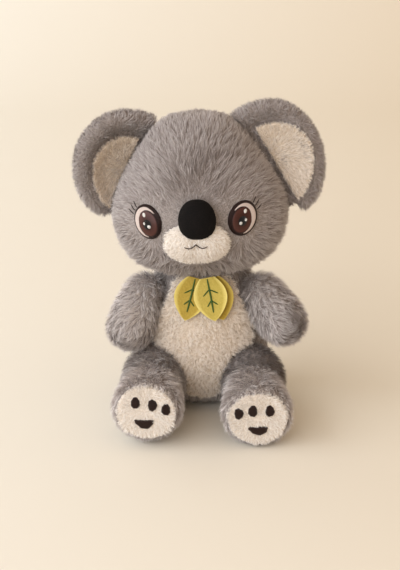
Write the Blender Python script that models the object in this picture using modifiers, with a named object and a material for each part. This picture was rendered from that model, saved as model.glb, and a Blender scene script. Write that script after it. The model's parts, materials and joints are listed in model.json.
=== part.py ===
"""A seated plush koala with a big head, padded ears, a cream belly and white soles.

The toy faces -Y and sits on the floor, z = 0. Its own left is at +X. Each soft form is a coarse cage under a
Subdivision Surface, or a ball-rooted limb from a few rings. Thin sewn pieces are flat patches that a Shrinkwrap
lays on the form that carries them and a Solidify gives their pile. The seams are shaped so that each limb can
turn: the arms and the head meet the torso on flat seams, the legs turn as balls in sockets, and the ears have
round roots that turn in grooves of the head.
"""

import math

import bmesh
import bpy
from mathutils import Matrix, Vector
from mathutils.bvhtree import BVHTree

MM = 0.001

# Clearances and cutting tools
GAP = 0.3 * MM
FLAT_CUT = 0.5 * MM
CUTTER_SPAN = 400 * MM
PROBE = 300 * MM
BALL_COLUMNS = 40
BALL_ROWS = 24
GROOVE_SIDES = 48

# Torso: a pear, its widest part near the floor
TORSO_WIDTH = 98 * MM
TORSO_FRONT = 41 * MM
TORSO_BACK = 44 * MM
TORSO_FORM_HEIGHT = 117 * MM
NECK_CUT = 5 * MM
NECK_HEIGHT = TORSO_FORM_HEIGHT - NECK_CUT
TORSO_COLUMNS = 16
# height, width, front, back
TORSO_SHARES = [
    (0.00, 0.00, 0.00, 0.00),
    (0.02, 0.52, 0.46, 0.56),
    (0.11, 0.86, 0.80, 0.88),
    (0.27, 1.01, 1.00, 1.01),
    (0.45, 1.00, 1.03, 0.99),
    (0.61, 0.95, 0.97, 0.92),
    (0.75, 0.87, 0.87, 0.83),
    (0.87, 0.75, 0.73, 0.72),
    (0.96, 0.52, 0.52, 0.52),
    (1.00, 0.00, 0.00, 0.00),
]

# Pellet bag in the seat and the panel that closes it in
BAG_WIDTH = 36 * MM
BAG_HEIGHT = 21 * MM
BAG_COLUMNS = 20
BAG_ROWS = 10
SEAT_PANEL_WIDTH = 26 * MM
SEAT_PANEL_THICKNESS = 2.4 * MM
SEAT_PANEL_SIDES = 32

# Belly panel
BELLY_WIDTH = 71 * MM
BELLY_LOW = 12 * MM
BELLY_BELOW_NECK = 1 * MM
BELLY_HIGH = NECK_HEIGHT - BELLY_BELOW_NECK
BELLY_PILE = 2.4 * MM
BELLY_SINK = 1.5 * MM
BELLY_SEGMENTS = 32
BELLY_RINGS = 5
BELLY_WIDEST_SHARE = 0.58
BELLY_SQUARENESS = 2.0

# Head: a wide egg with its widest part low, turned and rolled a little
HEAD_WIDTH = 131 * MM
HEAD_FRONT = 57 * MM
HEAD_BACK = 52 * MM
HEAD_FORM_HEIGHT = 122 * MM
HEAD_SINK = 7.5 * MM
HEAD_FORWARD = 8 * MM
HEAD_TURN = math.radians(-3.5)
HEAD_ROLL = math.radians(-3.5)
HEAD_PITCH = math.radians(7)
HEAD_COLUMNS = 18
HEAD_SHARES = [
    (0.00, 0.00, 0.00, 0.00),
    (0.02, 0.47, 0.42, 0.42),
    (0.10, 0.79, 0.76, 0.72),
    (0.23, 0.95, 0.99, 0.94),
    (0.39, 1.03, 1.06, 1.02),
    (0.55, 0.94, 1.00, 1.00),
    (0.70, 0.76, 0.88, 0.90),
    (0.85, 0.58, 0.68, 0.72),
    (0.965, 0.43, 0.43, 0.45),
    (1.00, 0.00, 0.00, 0.00),
]

# Ears: dished pillows on a round root bar, which turns in a groove of the head
EAR_LEFT_LENGTH = 94 * MM
EAR_RIGHT_LENGTH = 87 * MM
EAR_LEFT_REACH = 73 * MM
EAR_RIGHT_REACH = 79 * MM
EAR_THICKNESS = 22 * MM
EAR_OUT = 3 * MM
EAR_DROP = -2 * MM
EAR_POINT_SHARE = 0.16
EAR_ROOT_RADIUS = 11.6 * MM
EAR_RAISE = 4 * MM
EAR_ROOT_HALF = 36 * MM
EAR_LINE_HEIGHT = 45 * MM
EAR_LINE_BACK = 1 * MM
EAR_LINE_RISE = math.radians(28)
EAR_LEFT_FOLD = math.radians(-2)
EAR_RIGHT_FOLD = math.radians(25)
EAR_COLUMNS = 12
# thickness place (+1 back, -1 front) and reach from the middle
EAR_SHARES = [
    (-0.30, 0.00),
    (-0.34, 0.38),
    (-0.50, 0.62),
    (-1.00, 0.78),
    (-0.90, 0.96),
    (0.00, 1.08),
    (0.90, 0.88),
    (1.05, 0.50),
    (1.05, 0.00),
]
LINER_LEFT_WIDTH = 64 * MM
LINER_LEFT_LENGTH = 62 * MM
LINER_RIGHT_WIDTH = 56 * MM
LINER_RIGHT_LENGTH = 57 * MM
LINER_SQUARENESS = 2.2
LINER_DROP = 4 * MM
LINER_ROOT = 1.5 * MM
LINER_PILE = 2.0 * MM
LINER_SINK = 1.0 * MM
LINER_POINT_SHARE = 0.30
LINER_SEGMENTS = 20
LINER_RINGS = 3

# Face: heights are above the neck seam
MUZZLE_WIDTH = 47 * MM
MUZZLE_HEIGHT = 30 * MM
MUZZLE_CENTRE = 25.8 * MM
MUZZLE_SQUARENESS = 2.3
MUZZLE_PILE = 8 * MM
MUZZLE_RIM_SHARE = 0.3
MUZZLE_NOTCH_SHARE = 0.14
MUZZLE_CREASE_SHARE = 0.30
MUZZLE_CREASE_WIDTH_SHARE = 0.08
MUZZLE_SEGMENTS = 32
MUZZLE_RINGS = 6
NOSE_WIDTH = 28 * MM
NOSE_HEIGHT = 31 * MM
NOSE_DEPTH = 19 * MM
NOSE_CENTRE = 45.3 * MM
NOSE_ACROSS = 1.8 * MM
NOSE_AHEAD = 5 * MM
NOSE_TAPER_SHARE = 0.22
NOSE_COLUMNS = 20
NOSE_ROWS = 12
EYE_SPREAD = 34.2 * MM
EYES_ACROSS = -0.6 * MM
EYE_CENTRE = 41 * MM
EYE_WIDTH = 19 * MM
EYE_HEIGHT = 25 * MM
EYE_LEAN = math.radians(14)
EYE_RIM_THICKNESS = 0.8 * MM
EYE_LAYER_THICKNESS = 0.5 * MM
EYE_SEGMENTS = 20
EYE_RINGS = 3
# size and offset (outward, upward) of each layer, as shares of the eye
EYE_WHITE_SHARES = (0.90, 0.92, 0.02, 0.01)
EYE_IRIS_SHARES = (0.72, 0.76, -0.05, -0.05)
EYE_PUPIL_SHARES = (0.50, 0.52, -0.06, -0.04)
EYE_GLINT_SHARES = (0.16, 0.14, 0.00, 0.14)
MOUTH_HALF = 8.6 * MM
MOUTH_HEIGHT = 27.4 * MM
MOUTH_DIP = 3.4 * MM
MOUTH_ARC = math.radians(144)
MOUTH_RADIUS = 0.45 * MM
MOUTH_POINTS = 17

# Arms: a round root and a swelling paw, on the flat shoulder seam
ARM_LENGTH = 27 * MM
ARM_ROOT_RADIUS = 15 * MM
ARM_PAW_RADIUS = 18 * MM
ARM_OFF_SEAM = 9 * MM
SHOULDER_CUT = 3.0 * MM
SHOULDER_BELOW_NECK = 23 * MM
SHOULDER_AHEAD = math.radians(28)
SHOULDER_TILT = math.radians(24)
ARM_SWING = math.radians(15)
ARM_LEFT_SPREAD = math.radians(27)
ARM_RIGHT_SPREAD = math.radians(12)
ARM_COLUMNS = 12
# place along the arm from its root end to its paw end, and radius
ARM_SHARES = [
    (0.00, 0.00),
    (0.04, 0.50),
    (0.16, 0.86),
    (0.34, 0.96),
    (0.60, 1.04),
    (0.82, 0.98),
    (0.96, 0.60),
    (1.00, 0.00),
]

# Legs: a round root in the torso's socket, a short shank and a blunt foot
HIP_SPREAD = 37.5 * MM
HIP_AHEAD = 36 * MM
HIP_RADIUS = 27 * MM
HIP_HEIGHT = HIP_RADIUS - FLAT_CUT
HIP_HALF_WIDTH = 23.5 * MM
LEG_LEFT_SPLAY = math.radians(2)
LEG_RIGHT_SPLAY = math.radians(4)
LEG_LEFT_PITCH = math.radians(0)
LEG_RIGHT_PITCH = math.radians(4.5)
LEG_LENGTH = 62 * MM
FOOT_WIDTH = 50 * MM
FOOT_HEIGHT = 48 * MM
LEG_COLUMNS = 28
LEG_ROOT_ROWS = 9
# place along the leg from the hip's centre to the sole, blend from hip to foot size, and fullness
LEG_SHARES = [
    (0.10, 0.06, 0.970),
    (0.24, 0.20, 0.868),
    (0.40, 0.45, 0.890),
    (0.56, 0.70, 0.940),
    (0.72, 0.90, 0.985),
    (0.84, 1.00, 1.000),
    (0.93, 1.00, 0.970),
    (0.98, 1.00, 0.890),
]
SOLE_WIDTH = 42 * MM
SOLE_HEIGHT = 38 * MM
SOLE_LEFT_ROLL = math.radians(-2)
SOLE_RIGHT_ROLL = math.radians(9)
SOLE_PILE = 2.4 * MM
SOLE_SQUARENESS = 2.1
SOLE_SEGMENTS = 24
SOLE_RINGS = 5
EMBROIDERY_THICKNESS = 0.7 * MM
TOE_WIDTH = 6.6 * MM
TOE_HEIGHT = 8.8 * MM
TOE_SEGMENTS = 12
TOE_RINGS = 1
# places outward and up the sole
TOE_SHARES = {"outer": (0.20, 0.16), "middle": (-0.09, 0.175), "inner": (-0.33, 0.135)}
PALM_WIDTH = 13.6 * MM
PALM_HEIGHT = 6.6 * MM
PALM_SHARES = (0.00, -0.155)
PALM_BOW_SHARE = 0.30

# Leaves: three felt leaves on one seam under the chin
LEAF_WIDTH = 25 * MM
LEAF_LENGTH = 33 * MM
LEAF_THICKNESS = 1.4 * MM
LEAF_POINTS = 18
LEAF_TOP_SHARE = 0.12
LEAF_SEAM_BELOW_NECK = 4 * MM
LEAF_PROBE_BELOW_SEAM = 6 * MM
LEAF_LEFT_ACROSS = 2.5 * MM
LEAF_RIGHT_ACROSS = -6 * MM
LEAF_BACK_ACROSS = 6 * MM
LEAF_LEFT_LEAN = math.radians(-11)
LEAF_RIGHT_LEAN = math.radians(14)
LEAF_BACK_LEAN = math.radians(-16)

# Colours, as linear red, green and blue
GREY_PLUSH = (0.24, 0.19, 0.175)
CREAM_PLUSH = (0.66, 0.52, 0.38)
WHITE_PLUSH = (0.82, 0.74, 0.62)
BLACK_FABRIC = (0.012, 0.010, 0.009)
DARK_THREAD = (0.028, 0.010, 0.007)
WHITE_THREAD = (0.86, 0.82, 0.76)
BROWN_THREAD = (0.13, 0.030, 0.020)
PUPIL_THREAD = (0.020, 0.022, 0.020)
LIGHT_FELT = (0.48, 0.43, 0.09)
SHADE_FELT = (0.33, 0.29, 0.05)
SEAT_FABRIC = (0.20, 0.16, 0.15)
BAG_FABRIC = (0.60, 0.56, 0.50)

for old in list(bpy.data.objects):
    bpy.data.objects.remove(old, do_unlink=True)

scene = bpy.context.scene
parts = bpy.data.collections.new("plush_koala")
cutters = bpy.data.collections.new("koala_cutters")
scene.collection.children.link(parts)
scene.collection.children.link(cutters)


def material(name, colour, roughness=0.9):
    """A matte fabric material with one colour."""
    made = bpy.data.materials.new(name)
    made.use_nodes = True
    shader = made.node_tree.nodes["Principled BSDF"]
    shader.inputs["Base Color"].default_value = (*colour, 1.0)
    shader.inputs["Roughness"].default_value = roughness
    shader.inputs["Metallic"].default_value = 0.0
    return made


def piece(name, mesh, finish, parent=None, place=None):
    """One part of the toy, in the frame of its parent."""
    made = bpy.data.objects.new(name, mesh)
    parts.objects.link(made)
    made.data.materials.append(finish)
    made.parent = parent
    made.matrix_local = place or Matrix.Identity(4)
    return made


def frame(name, matrix, parent=None):
    """An empty on a joint's axis, which carries the pieces that turn there."""
    made = bpy.data.objects.new(name, None)
    parts.objects.link(made)
    made.parent = parent
    made.matrix_local = matrix
    bpy.context.view_layer.update()
    return made


def cutter(name, mesh, place=None, parent=None):
    """A guide that cuts other pieces and isn't part of the toy."""
    made = bpy.data.objects.new(name, mesh)
    cutters.objects.link(made)
    made.parent = parent
    made.matrix_local = place or Matrix.Identity(4)
    made.hide_render = True
    made.display_type = "WIRE"
    bpy.context.view_layer.update()
    return made


def finished_mesh(name, bm, smooth=True):
    """The mesh of a bmesh, with its faces turned outward."""
    bm.normal_update()
    bmesh.ops.recalc_face_normals(bm, faces=bm.faces)
    for face in bm.faces:
        face.smooth = smooth
    mesh = bpy.data.meshes.new(name)
    bm.to_mesh(mesh)
    bm.free()
    return mesh


def ring_of(vert, rows):
    """Which ring of a unit UV sphere with that many rows a vertex is on, from the bottom."""
    return round(math.acos(max(-1.0, min(1.0, -vert.co.z))) * rows / math.pi)


def ringed_mesh(name, columns, rows, point):
    """A UV sphere whose vertices are moved to point(ring, angle)."""
    bm = bmesh.new()
    bmesh.ops.create_uvsphere(bm, u_segments=columns, v_segments=rows, radius=1)
    for vert in bm.verts:
        ring = ring_of(vert, rows)
        vert.co = point(ring, math.atan2(vert.co.y, vert.co.x))
    return finished_mesh(name, bm)


def smoothed(obj, levels=1):
    """Adds the Subdivision Surface that rounds a cage."""
    modifier = obj.modifiers.new("smooth", "SUBSURF")
    modifier.levels = levels
    modifier.render_levels = levels
    return obj


def form_copy(obj, name):
    """A guide of the object's rounded form before its cuts."""
    made = obj.copy()
    made.name = name
    cutters.objects.link(made)
    made.hide_render = True
    made.display_type = "WIRE"
    for modifier in [m for m in made.modifiers if m.type == "BOOLEAN"]:
        made.modifiers.remove(modifier)
    bpy.context.view_layer.update()
    return made


def grown_copy(obj):
    """A cutter of the object's rounded form with a gap added all over, to seat its neighbours."""
    made = form_copy(obj, f"{obj.name}_seat")
    grow = made.modifiers.new("gap", "DISPLACE")
    grow.strength = GAP
    grow.mid_level = 0
    bpy.context.view_layer.update()
    return made


def evaluated_bounds(obj):
    """The low and high corners of the object's evaluated mesh, in its own frame."""
    graph = bpy.context.evaluated_depsgraph_get()
    mesh = obj.evaluated_get(graph).to_mesh()
    spans = [(min(v.co[k] for v in mesh.vertices), max(v.co[k] for v in mesh.vertices)) for k in range(3)]
    obj.evaluated_get(graph).to_mesh_clear()
    return Vector([low for low, _ in spans]), Vector([high for _, high in spans])


def fill_size(obj, low, high):
    """Stretches a cage so that its rounded form fills the box from low to high."""
    bpy.context.view_layer.update()
    now_low, now_high = evaluated_bounds(obj)
    for vert in obj.data.vertices:
        for k in range(3):
            share = (vert.co[k] - now_low[k]) / (now_high[k] - now_low[k])
            vert.co[k] = low[k] + share * (high[k] - low[k])
    obj.data.update()
    bpy.context.view_layer.update()


def cut(obj, *tools, operation="DIFFERENCE"):
    """Cuts the object with each tool, by exact Booleans."""
    for tool in tools:
        modifier = obj.modifiers.new(f"{operation.lower()} {tool.name}", "BOOLEAN")
        modifier.operation = operation
        modifier.solver = "EXACT"
        modifier.object = tool
    bpy.context.view_layer.update()


def block_mesh(name):
    """A big block that stands on its origin."""
    bm = bmesh.new()
    bmesh.ops.create_cube(bm, size=1)
    for vert in bm.verts:
        vert.co.z += 0.5
        vert.co *= CUTTER_SPAN
    return finished_mesh(name, bm, False)


def half_space(name, point, normal):
    """A block that fills everything ahead of the plane through point, on its normal's side."""
    turn = Vector(normal).to_track_quat("Z", "X").to_matrix().to_4x4()
    return cutter(name, block_mesh(name), Matrix.Translation(point) @ turn)


def rounded_cutter(name, place, half_width, radius):
    """A cutter that is round about its X axis, whose faces keep at least those sizes from its centre."""
    bm = bmesh.new()
    bmesh.ops.create_uvsphere(bm, u_segments=BALL_COLUMNS, v_segments=BALL_ROWS, radius=1)
    outer = 1 / math.cos(math.pi / BALL_COLUMNS) / math.cos(math.pi / BALL_ROWS / 2)
    for vert in bm.verts:
        around = radius * outer
        vert.co = Vector((vert.co.z * half_width * outer, vert.co.x * around, vert.co.y * around))
    return cutter(name, finished_mesh(name, bm), place)


def world_tree(obj):
    """A search tree of the object's evaluated surface, in world coordinates."""
    bpy.context.view_layer.update()
    graph = bpy.context.evaluated_depsgraph_get()
    shown = obj.evaluated_get(graph)
    mesh = shown.to_mesh()
    points = [shown.matrix_world @ v.co for v in mesh.vertices]
    faces = [tuple(p.vertices) for p in mesh.polygons]
    shown.to_mesh_clear()
    return BVHTree.FromPolygons(points, faces), points


def seat_point(obj, start, direction):
    """Where a line from start first meets the object, and the surface's normal there, in world coordinates."""
    tree, _ = world_tree(obj)
    place, normal, _, _ = tree.ray_cast(start, direction)
    return place, normal


def patch_mesh(name, segments, rings, outline):
    """A flat disc of rings in the XZ plane, facing -Y, with its rim at outline(angle)."""
    bm = bmesh.new()
    bmesh.ops.create_uvsphere(bm, u_segments=segments, v_segments=2 * rings, radius=1)
    lower = [v for v in bm.verts if ring_of(v, 2 * rings) < rings]
    bmesh.ops.delete(bm, geom=lower, context="VERTS")
    for vert in bm.verts:
        out = (2 * rings - ring_of(vert, 2 * rings)) / rings
        angle = math.atan2(vert.co.y, vert.co.x)
        x, z = outline(angle)
        vert.co = Vector((x * out, 0, z * out))
    mesh = finished_mesh(name, bm)
    if mesh.polygons[0].normal.y > 0:
        mesh.flip_normals()
    return mesh


def oval(width, height, squareness=2.0):
    """The outline of an oval, squarer with a higher squareness."""
    def outline(angle):
        c = math.cos(angle)
        s = math.sin(angle)
        reach = (abs(c) ** squareness + abs(s) ** squareness) ** (-1 / squareness)
        return width / 2 * reach * c, height / 2 * reach * s

    return outline


def sewn_patch(name, mesh, finish, parent, place, target, thickness, lift=GAP, rim_share=None, dome=None):
    """Lays a flat patch over its target and gives it thickness. Place is in front of the target."""
    made = piece(name, mesh, finish, parent, place)
    bpy.context.view_layer.update()
    lay = made.modifiers.new("lay", "SHRINKWRAP")
    lay.target = target
    lay.wrap_method = "PROJECT"
    lay.wrap_mode = "ABOVE_SURFACE"
    lay.use_project_y = True
    lay.use_positive_direction = True
    lay.use_negative_direction = False
    lay.offset = lift
    pile = made.modifiers.new("pile", "SOLIDIFY")
    pile.thickness = thickness
    pile.offset = 1
    pile.use_even_offset = False
    if dome:
        group = made.vertex_groups.new(name="dome")
        for vert in mesh.vertices:
            group.add([vert.index], dome(vert.co), "REPLACE")
        pile.vertex_group = "dome"
        pile.thickness_vertex_group = rim_share
    bpy.context.view_layer.update()
    return made


grey = material("grey_plush", GREY_PLUSH)
cream = material("cream_plush", CREAM_PLUSH)
white = material("white_plush", WHITE_PLUSH)
nose_black = material("black_fabric", BLACK_FABRIC, 0.7)
dark_thread = material("dark_thread", DARK_THREAD, 0.5)
white_thread = material("white_thread", WHITE_THREAD, 0.5)
brown_thread = material("brown_thread", BROWN_THREAD, 0.45)
pupil_thread = material("pupil_thread", PUPIL_THREAD, 0.35)
light_felt = material("light_felt", LIGHT_FELT)
shade_felt = material("shade_felt", SHADE_FELT)
seat_fabric = material("seat_fabric", SEAT_FABRIC)
bag_fabric = material("bag_fabric", BAG_FABRIC)


# Torso
def torso_point(ring, angle):
    height, wide, front, back = TORSO_SHARES[ring]
    depth = front * TORSO_FRONT if math.sin(angle) < 0 else back * TORSO_BACK
    across = wide * TORSO_WIDTH / 2 * math.cos(angle)
    return Vector((across, depth * math.sin(angle), height * TORSO_FORM_HEIGHT))


torso_mesh = ringed_mesh("torso", TORSO_COLUMNS, len(TORSO_SHARES) - 1, torso_point)
torso = smoothed(piece("torso", torso_mesh, grey))
fill_size(
    torso,
    (-TORSO_WIDTH / 2, -TORSO_FRONT, -FLAT_CUT),
    (TORSO_WIDTH / 2, TORSO_BACK, TORSO_FORM_HEIGHT),
)
torso_form = form_copy(torso, "torso_form")
floor_cut = half_space("floor_cut", (0, 0, 0), (0, 0, -1))
neck_cut = half_space("neck_cut", (0, 0, NECK_HEIGHT), (0, 0, 1))


# Shoulder seams: flat, and cut a little into the part of the torso that faces them
def shoulder_normal(side):
    flat = Vector((side * math.cos(SHOULDER_AHEAD), -math.sin(SHOULDER_AHEAD), 0))
    return flat * math.cos(SHOULDER_TILT) + Vector((0, 0, math.sin(SHOULDER_TILT)))


def shoulder_seam(normal):
    """The middle of the flat seam on the torso that faces this way, clear of the neck."""
    _, points = world_tree(torso)
    furthest = max((p for p in points if p.z < NECK_HEIGHT - SHOULDER_BELOW_NECK), key=normal.dot)
    return furthest - normal * SHOULDER_CUT


shoulders = {}
for name, side in (("left", 1), ("right", -1)):
    normal = shoulder_normal(side)
    shoulders[name] = (shoulder_seam(normal), normal)
shoulder_cuts = [half_space(f"shoulder_cut_{n}", p, a) for n, (p, a) in shoulders.items()]

# Hip sockets
hips = {}
for name, side, splay, pitch in (
    ("left", 1, LEG_LEFT_SPLAY, LEG_LEFT_PITCH),
    ("right", -1, LEG_RIGHT_SPLAY, LEG_RIGHT_PITCH),
):
    hip_centre = Matrix.Translation((side * HIP_SPREAD, -HIP_AHEAD, HIP_HEIGHT))
    hips[name] = hip_centre @ Matrix.Rotation(side * splay, 4, "Z") @ Matrix.Rotation(-pitch, 4, "X")
hip_sockets = [
    rounded_cutter(f"hip_socket_{n}", place, HIP_HALF_WIDTH + GAP, HIP_RADIUS + GAP) for n, place in hips.items()
]
cut(torso, floor_cut, neck_cut, *shoulder_cuts, *hip_sockets)

# Seat pocket, with the pellet bag over the seat panel
BAG_BASE = SEAT_PANEL_THICKNESS + GAP
bag_centre = Vector((0, 0, BAG_BASE + BAG_HEIGHT / 2))


def bag_mesh(name, spare):
    bm = bmesh.new()
    bmesh.ops.create_uvsphere(bm, u_segments=BAG_COLUMNS, v_segments=BAG_ROWS, radius=1)
    for vert in bm.verts:
        vert.co.x *= BAG_WIDTH / 2 + spare
        vert.co.y *= BAG_WIDTH / 2 + spare
        vert.co.z *= BAG_HEIGHT / 2 + spare
    return finished_mesh(name, bm)


def disc_mesh(name, radius, low, high):
    bm = bmesh.new()
    bmesh.ops.create_cone(
        bm, cap_ends=True, segments=SEAT_PANEL_SIDES, radius1=radius, radius2=radius, depth=high - low
    )
    for vert in bm.verts:
        vert.co.z += (high + low) / 2
    return finished_mesh(name, bm, False)


bag_pocket = cutter("bag_pocket", bag_mesh("bag_pocket", GAP), Matrix.Translation(bag_centre))
panel_seat = cutter(
    "panel_seat", disc_mesh("panel_seat", SEAT_PANEL_WIDTH / 2 + GAP, -FLAT_CUT, bag_centre.z)
)
cut(torso, bag_pocket, panel_seat)
pellet_bag = piece("pellet_bag", bag_mesh("pellet_bag", 0), bag_fabric, place=Matrix.Translation(bag_centre))
seat_mesh = disc_mesh("seat_panel", SEAT_PANEL_WIDTH / 2, 0, SEAT_PANEL_THICKNESS)
seat_panel = piece("seat_panel", seat_mesh, seat_fabric)


# Belly panel, laid on the torso's front and cut where the limbs are sewn on
def belly_outline(angle):
    x, z = oval(BELLY_WIDTH, BELLY_HIGH - BELLY_LOW, BELLY_SQUARENESS)(angle)
    share = 1 - BELLY_WIDEST_SHARE if z > 0 else BELLY_WIDEST_SHARE
    return x, z * 2 * share


belly_centre = Vector((0, -PROBE, BELLY_LOW + (BELLY_HIGH - BELLY_LOW) * BELLY_WIDEST_SHARE))
belly_mesh = patch_mesh("belly_panel", BELLY_SEGMENTS, BELLY_RINGS, belly_outline)
belly_place = Matrix.Translation(belly_centre)
belly_panel = sewn_patch(
    "belly_panel", belly_mesh, cream, None, belly_place, torso_form, BELLY_SINK + BELLY_PILE, -BELLY_SINK
)
cut(belly_panel, grown_copy(torso), neck_cut, *shoulder_cuts, *hip_sockets)

# Head
head_turn = Matrix.Rotation(HEAD_TURN, 4, "Z") @ Matrix.Rotation(-HEAD_PITCH, 4, "X")
head_turn = head_turn @ Matrix.Rotation(HEAD_ROLL, 4, "Y")
head_frame = frame("neck_joint", Matrix.Translation((0, 0, NECK_HEIGHT)) @ head_turn)


def head_point(ring, angle):
    height, wide, front, back = HEAD_SHARES[ring]
    depth = front * HEAD_FRONT if math.sin(angle) < 0 else back * HEAD_BACK
    across = wide * HEAD_WIDTH / 2 * math.cos(angle)
    return Vector((across, depth * math.sin(angle), height * HEAD_FORM_HEIGHT))


head_mesh = ringed_mesh("head", HEAD_COLUMNS, len(HEAD_SHARES) - 1, head_point)
head = smoothed(piece("head", head_mesh, grey, head_frame))
fill_size(
    head,
    (-HEAD_WIDTH / 2, -HEAD_FRONT - HEAD_FORWARD, -HEAD_SINK),
    (HEAD_WIDTH / 2, HEAD_BACK - HEAD_FORWARD, HEAD_FORM_HEIGHT - HEAD_SINK),
)
head_floor = half_space("head_floor", (0, 0, NECK_HEIGHT + GAP), (0, 0, -1))


# Ears. In an ear's own frame X runs along the fold seam, Z reaches out from the head and -Y is the open face
def ear_point(ring, angle):
    back, reach = EAR_SHARES[ring]
    return Vector((reach * math.cos(angle), back, reach * math.sin(angle)))


def ear_frame(name, side, fold):
    """The empty on an ear's fold seam, which lies a little above the head's surface."""
    out = Vector((side * math.cos(EAR_LINE_RISE), 0, math.sin(EAR_LINE_RISE)))
    back = Vector((0, 1, 0))
    to_world = head_frame.matrix_world
    start = to_world @ (Vector((0, EAR_LINE_BACK, EAR_LINE_HEIGHT)) + out * PROBE)
    surface, _ = seat_point(head, start, to_world.to_3x3() @ -out)
    place = to_world.inverted() @ surface + out * EAR_RAISE
    basis = Matrix((back.cross(out), back, out)).transposed().to_4x4()
    return frame(name, Matrix.Translation(place) @ basis @ Matrix.Rotation(fold, 4, "X"), head_frame)


def rod_mesh(name, radius, half):
    """A round bar along X."""
    bm = bmesh.new()
    bmesh.ops.create_cone(
        bm, cap_ends=True, segments=GROOVE_SIDES, radius1=radius, radius2=radius, depth=2 * half
    )
    mesh = finished_mesh(name, bm)
    mesh.transform(Matrix.Rotation(math.radians(90), 4, "Y"))
    return mesh


def liner_outline(side, length, width):
    """A rounded leaf that narrows to the ear's lower end."""
    def outline(angle):
        x, z = oval(length, width, LINER_SQUARENESS)(angle)
        lower = max(0.0, side * x / (length / 2))
        return x, z * (1 - LINER_POINT_SHARE * lower)

    return outline


def make_ear(name, side, fold, ear_size, liner_size):
    """An ear, leaner toward its lower end, with its liner and the groove that its root needs in the head."""
    length, reach = ear_size
    joint = ear_frame(f"ear_joint_{name}", side, fold)
    mesh = ringed_mesh(f"ear_{name}", EAR_COLUMNS, len(EAR_SHARES) - 1, ear_point)
    for vert in mesh.vertices:
        vert.co.z *= 1 - EAR_POINT_SHARE * max(0.0, side * vert.co.x)
    ear = smoothed(piece(f"ear_{name}", mesh, grey, joint))
    drop = side * EAR_DROP
    fill_size(
        ear,
        (drop - length / 2, -EAR_THICKNESS / 2, EAR_OUT - reach / 2),
        (drop + length / 2, EAR_THICKNESS / 2, EAR_OUT + reach / 2),
    )
    ear_form = form_copy(ear, f"ear_form_{name}")
    upside_down = Matrix.Rotation(math.pi, 4, "X")
    waste = cutter(f"ear_waste_{name}", block_mesh(f"ear_waste_{name}"), upside_down, joint)
    root_rod = rod_mesh(f"ear_root_{name}", EAR_ROOT_RADIUS, EAR_ROOT_HALF)
    cut(waste, cutter(f"ear_root_{name}", root_rod, None, joint))
    cut(ear, waste)
    groove_radius = (EAR_ROOT_RADIUS + GAP) / math.cos(math.pi / GROOVE_SIDES)
    groove_rod = rod_mesh(f"ear_groove_{name}", groove_radius, EAR_ROOT_HALF + GAP)
    cut(head, cutter(f"ear_groove_{name}", groove_rod, None, joint))
    outline = liner_outline(side, *liner_size)
    liner = patch_mesh(f"ear_liner_{name}", LINER_SEGMENTS, LINER_RINGS, outline)
    place = Matrix.Translation((side * LINER_DROP, -PROBE, 0))
    panel = sewn_patch(
        f"ear_liner_{name}", liner, cream, joint, place, ear_form, LINER_SINK + LINER_PILE, -LINER_SINK
    )
    root_place = Matrix.Translation((0, 0, LINER_ROOT)) @ upside_down
    liner_root = cutter(f"liner_root_{name}", block_mesh(f"liner_root_{name}"), root_place, joint)
    cut(panel, grown_copy(ear), liner_root)


make_ear(
    "left", 1, EAR_LEFT_FOLD, (EAR_LEFT_LENGTH, EAR_LEFT_REACH), (LINER_LEFT_LENGTH, LINER_LEFT_WIDTH)
)
make_ear(
    "right", -1, EAR_RIGHT_FOLD, (EAR_RIGHT_LENGTH, EAR_RIGHT_REACH), (LINER_RIGHT_LENGTH, LINER_RIGHT_WIDTH)
)
cut(head, head_floor)


# Muzzle: a domed pad with two lobes, a notch under the mouth and a crease up to the nose
def muzzle_outline(angle):
    x, z = oval(MUZZLE_WIDTH, MUZZLE_HEIGHT, MUZZLE_SQUARENESS)(angle)
    middle = math.exp(-((x / (MUZZLE_WIDTH * MUZZLE_CREASE_WIDTH_SHARE)) ** 2))
    return x, z * (1 - MUZZLE_NOTCH_SHARE * middle)


def muzzle_dome(place):
    reach = math.hypot(place.x / (MUZZLE_WIDTH / 2), place.z / (MUZZLE_HEIGHT / 2))
    crease = math.exp(-((place.x / (MUZZLE_WIDTH * MUZZLE_CREASE_WIDTH_SHARE)) ** 2))
    return math.sqrt(max(0.0, 1 - reach**2)) * (1 - MUZZLE_CREASE_SHARE * crease)


muzzle_mesh = patch_mesh("muzzle", MUZZLE_SEGMENTS, MUZZLE_RINGS, muzzle_outline)
muzzle_place = Matrix.Translation((0, -PROBE, MUZZLE_CENTRE))
muzzle = sewn_patch(
    "muzzle",
    muzzle_mesh,
    white,
    head_frame,
    muzzle_place,
    head,
    MUZZLE_PILE,
    rim_share=MUZZLE_RIM_SHARE,
    dome=muzzle_dome,
)


# Nose: a padded oval, narrower at the top, cut by the head and the muzzle that it is sewn to
def nose_shape():
    bm = bmesh.new()
    bmesh.ops.create_uvsphere(bm, u_segments=NOSE_COLUMNS, v_segments=NOSE_ROWS, radius=1)
    for vert in bm.verts:
        taper = 1 - NOSE_TAPER_SHARE * max(0.0, vert.co.z)
        vert.co.x *= NOSE_WIDTH / 2 * taper
        vert.co.y *= NOSE_DEPTH / 2
        vert.co.z *= NOSE_HEIGHT / 2
    return finished_mesh("nose", bm)


to_head = head_frame.matrix_world.inverted()
nose_start = head_frame.matrix_world @ Vector((NOSE_ACROSS, -PROBE, NOSE_CENTRE))
nose_seat, _ = seat_point(head, nose_start, head_frame.matrix_world.to_3x3() @ Vector((0, 1, 0)))
nose_place = Matrix.Translation(to_head @ nose_seat - Vector((0, NOSE_AHEAD, 0)))
nose = piece("nose", nose_shape(), nose_black, head_frame, nose_place)
cut(nose, grown_copy(head), grown_copy(muzzle))

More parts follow.
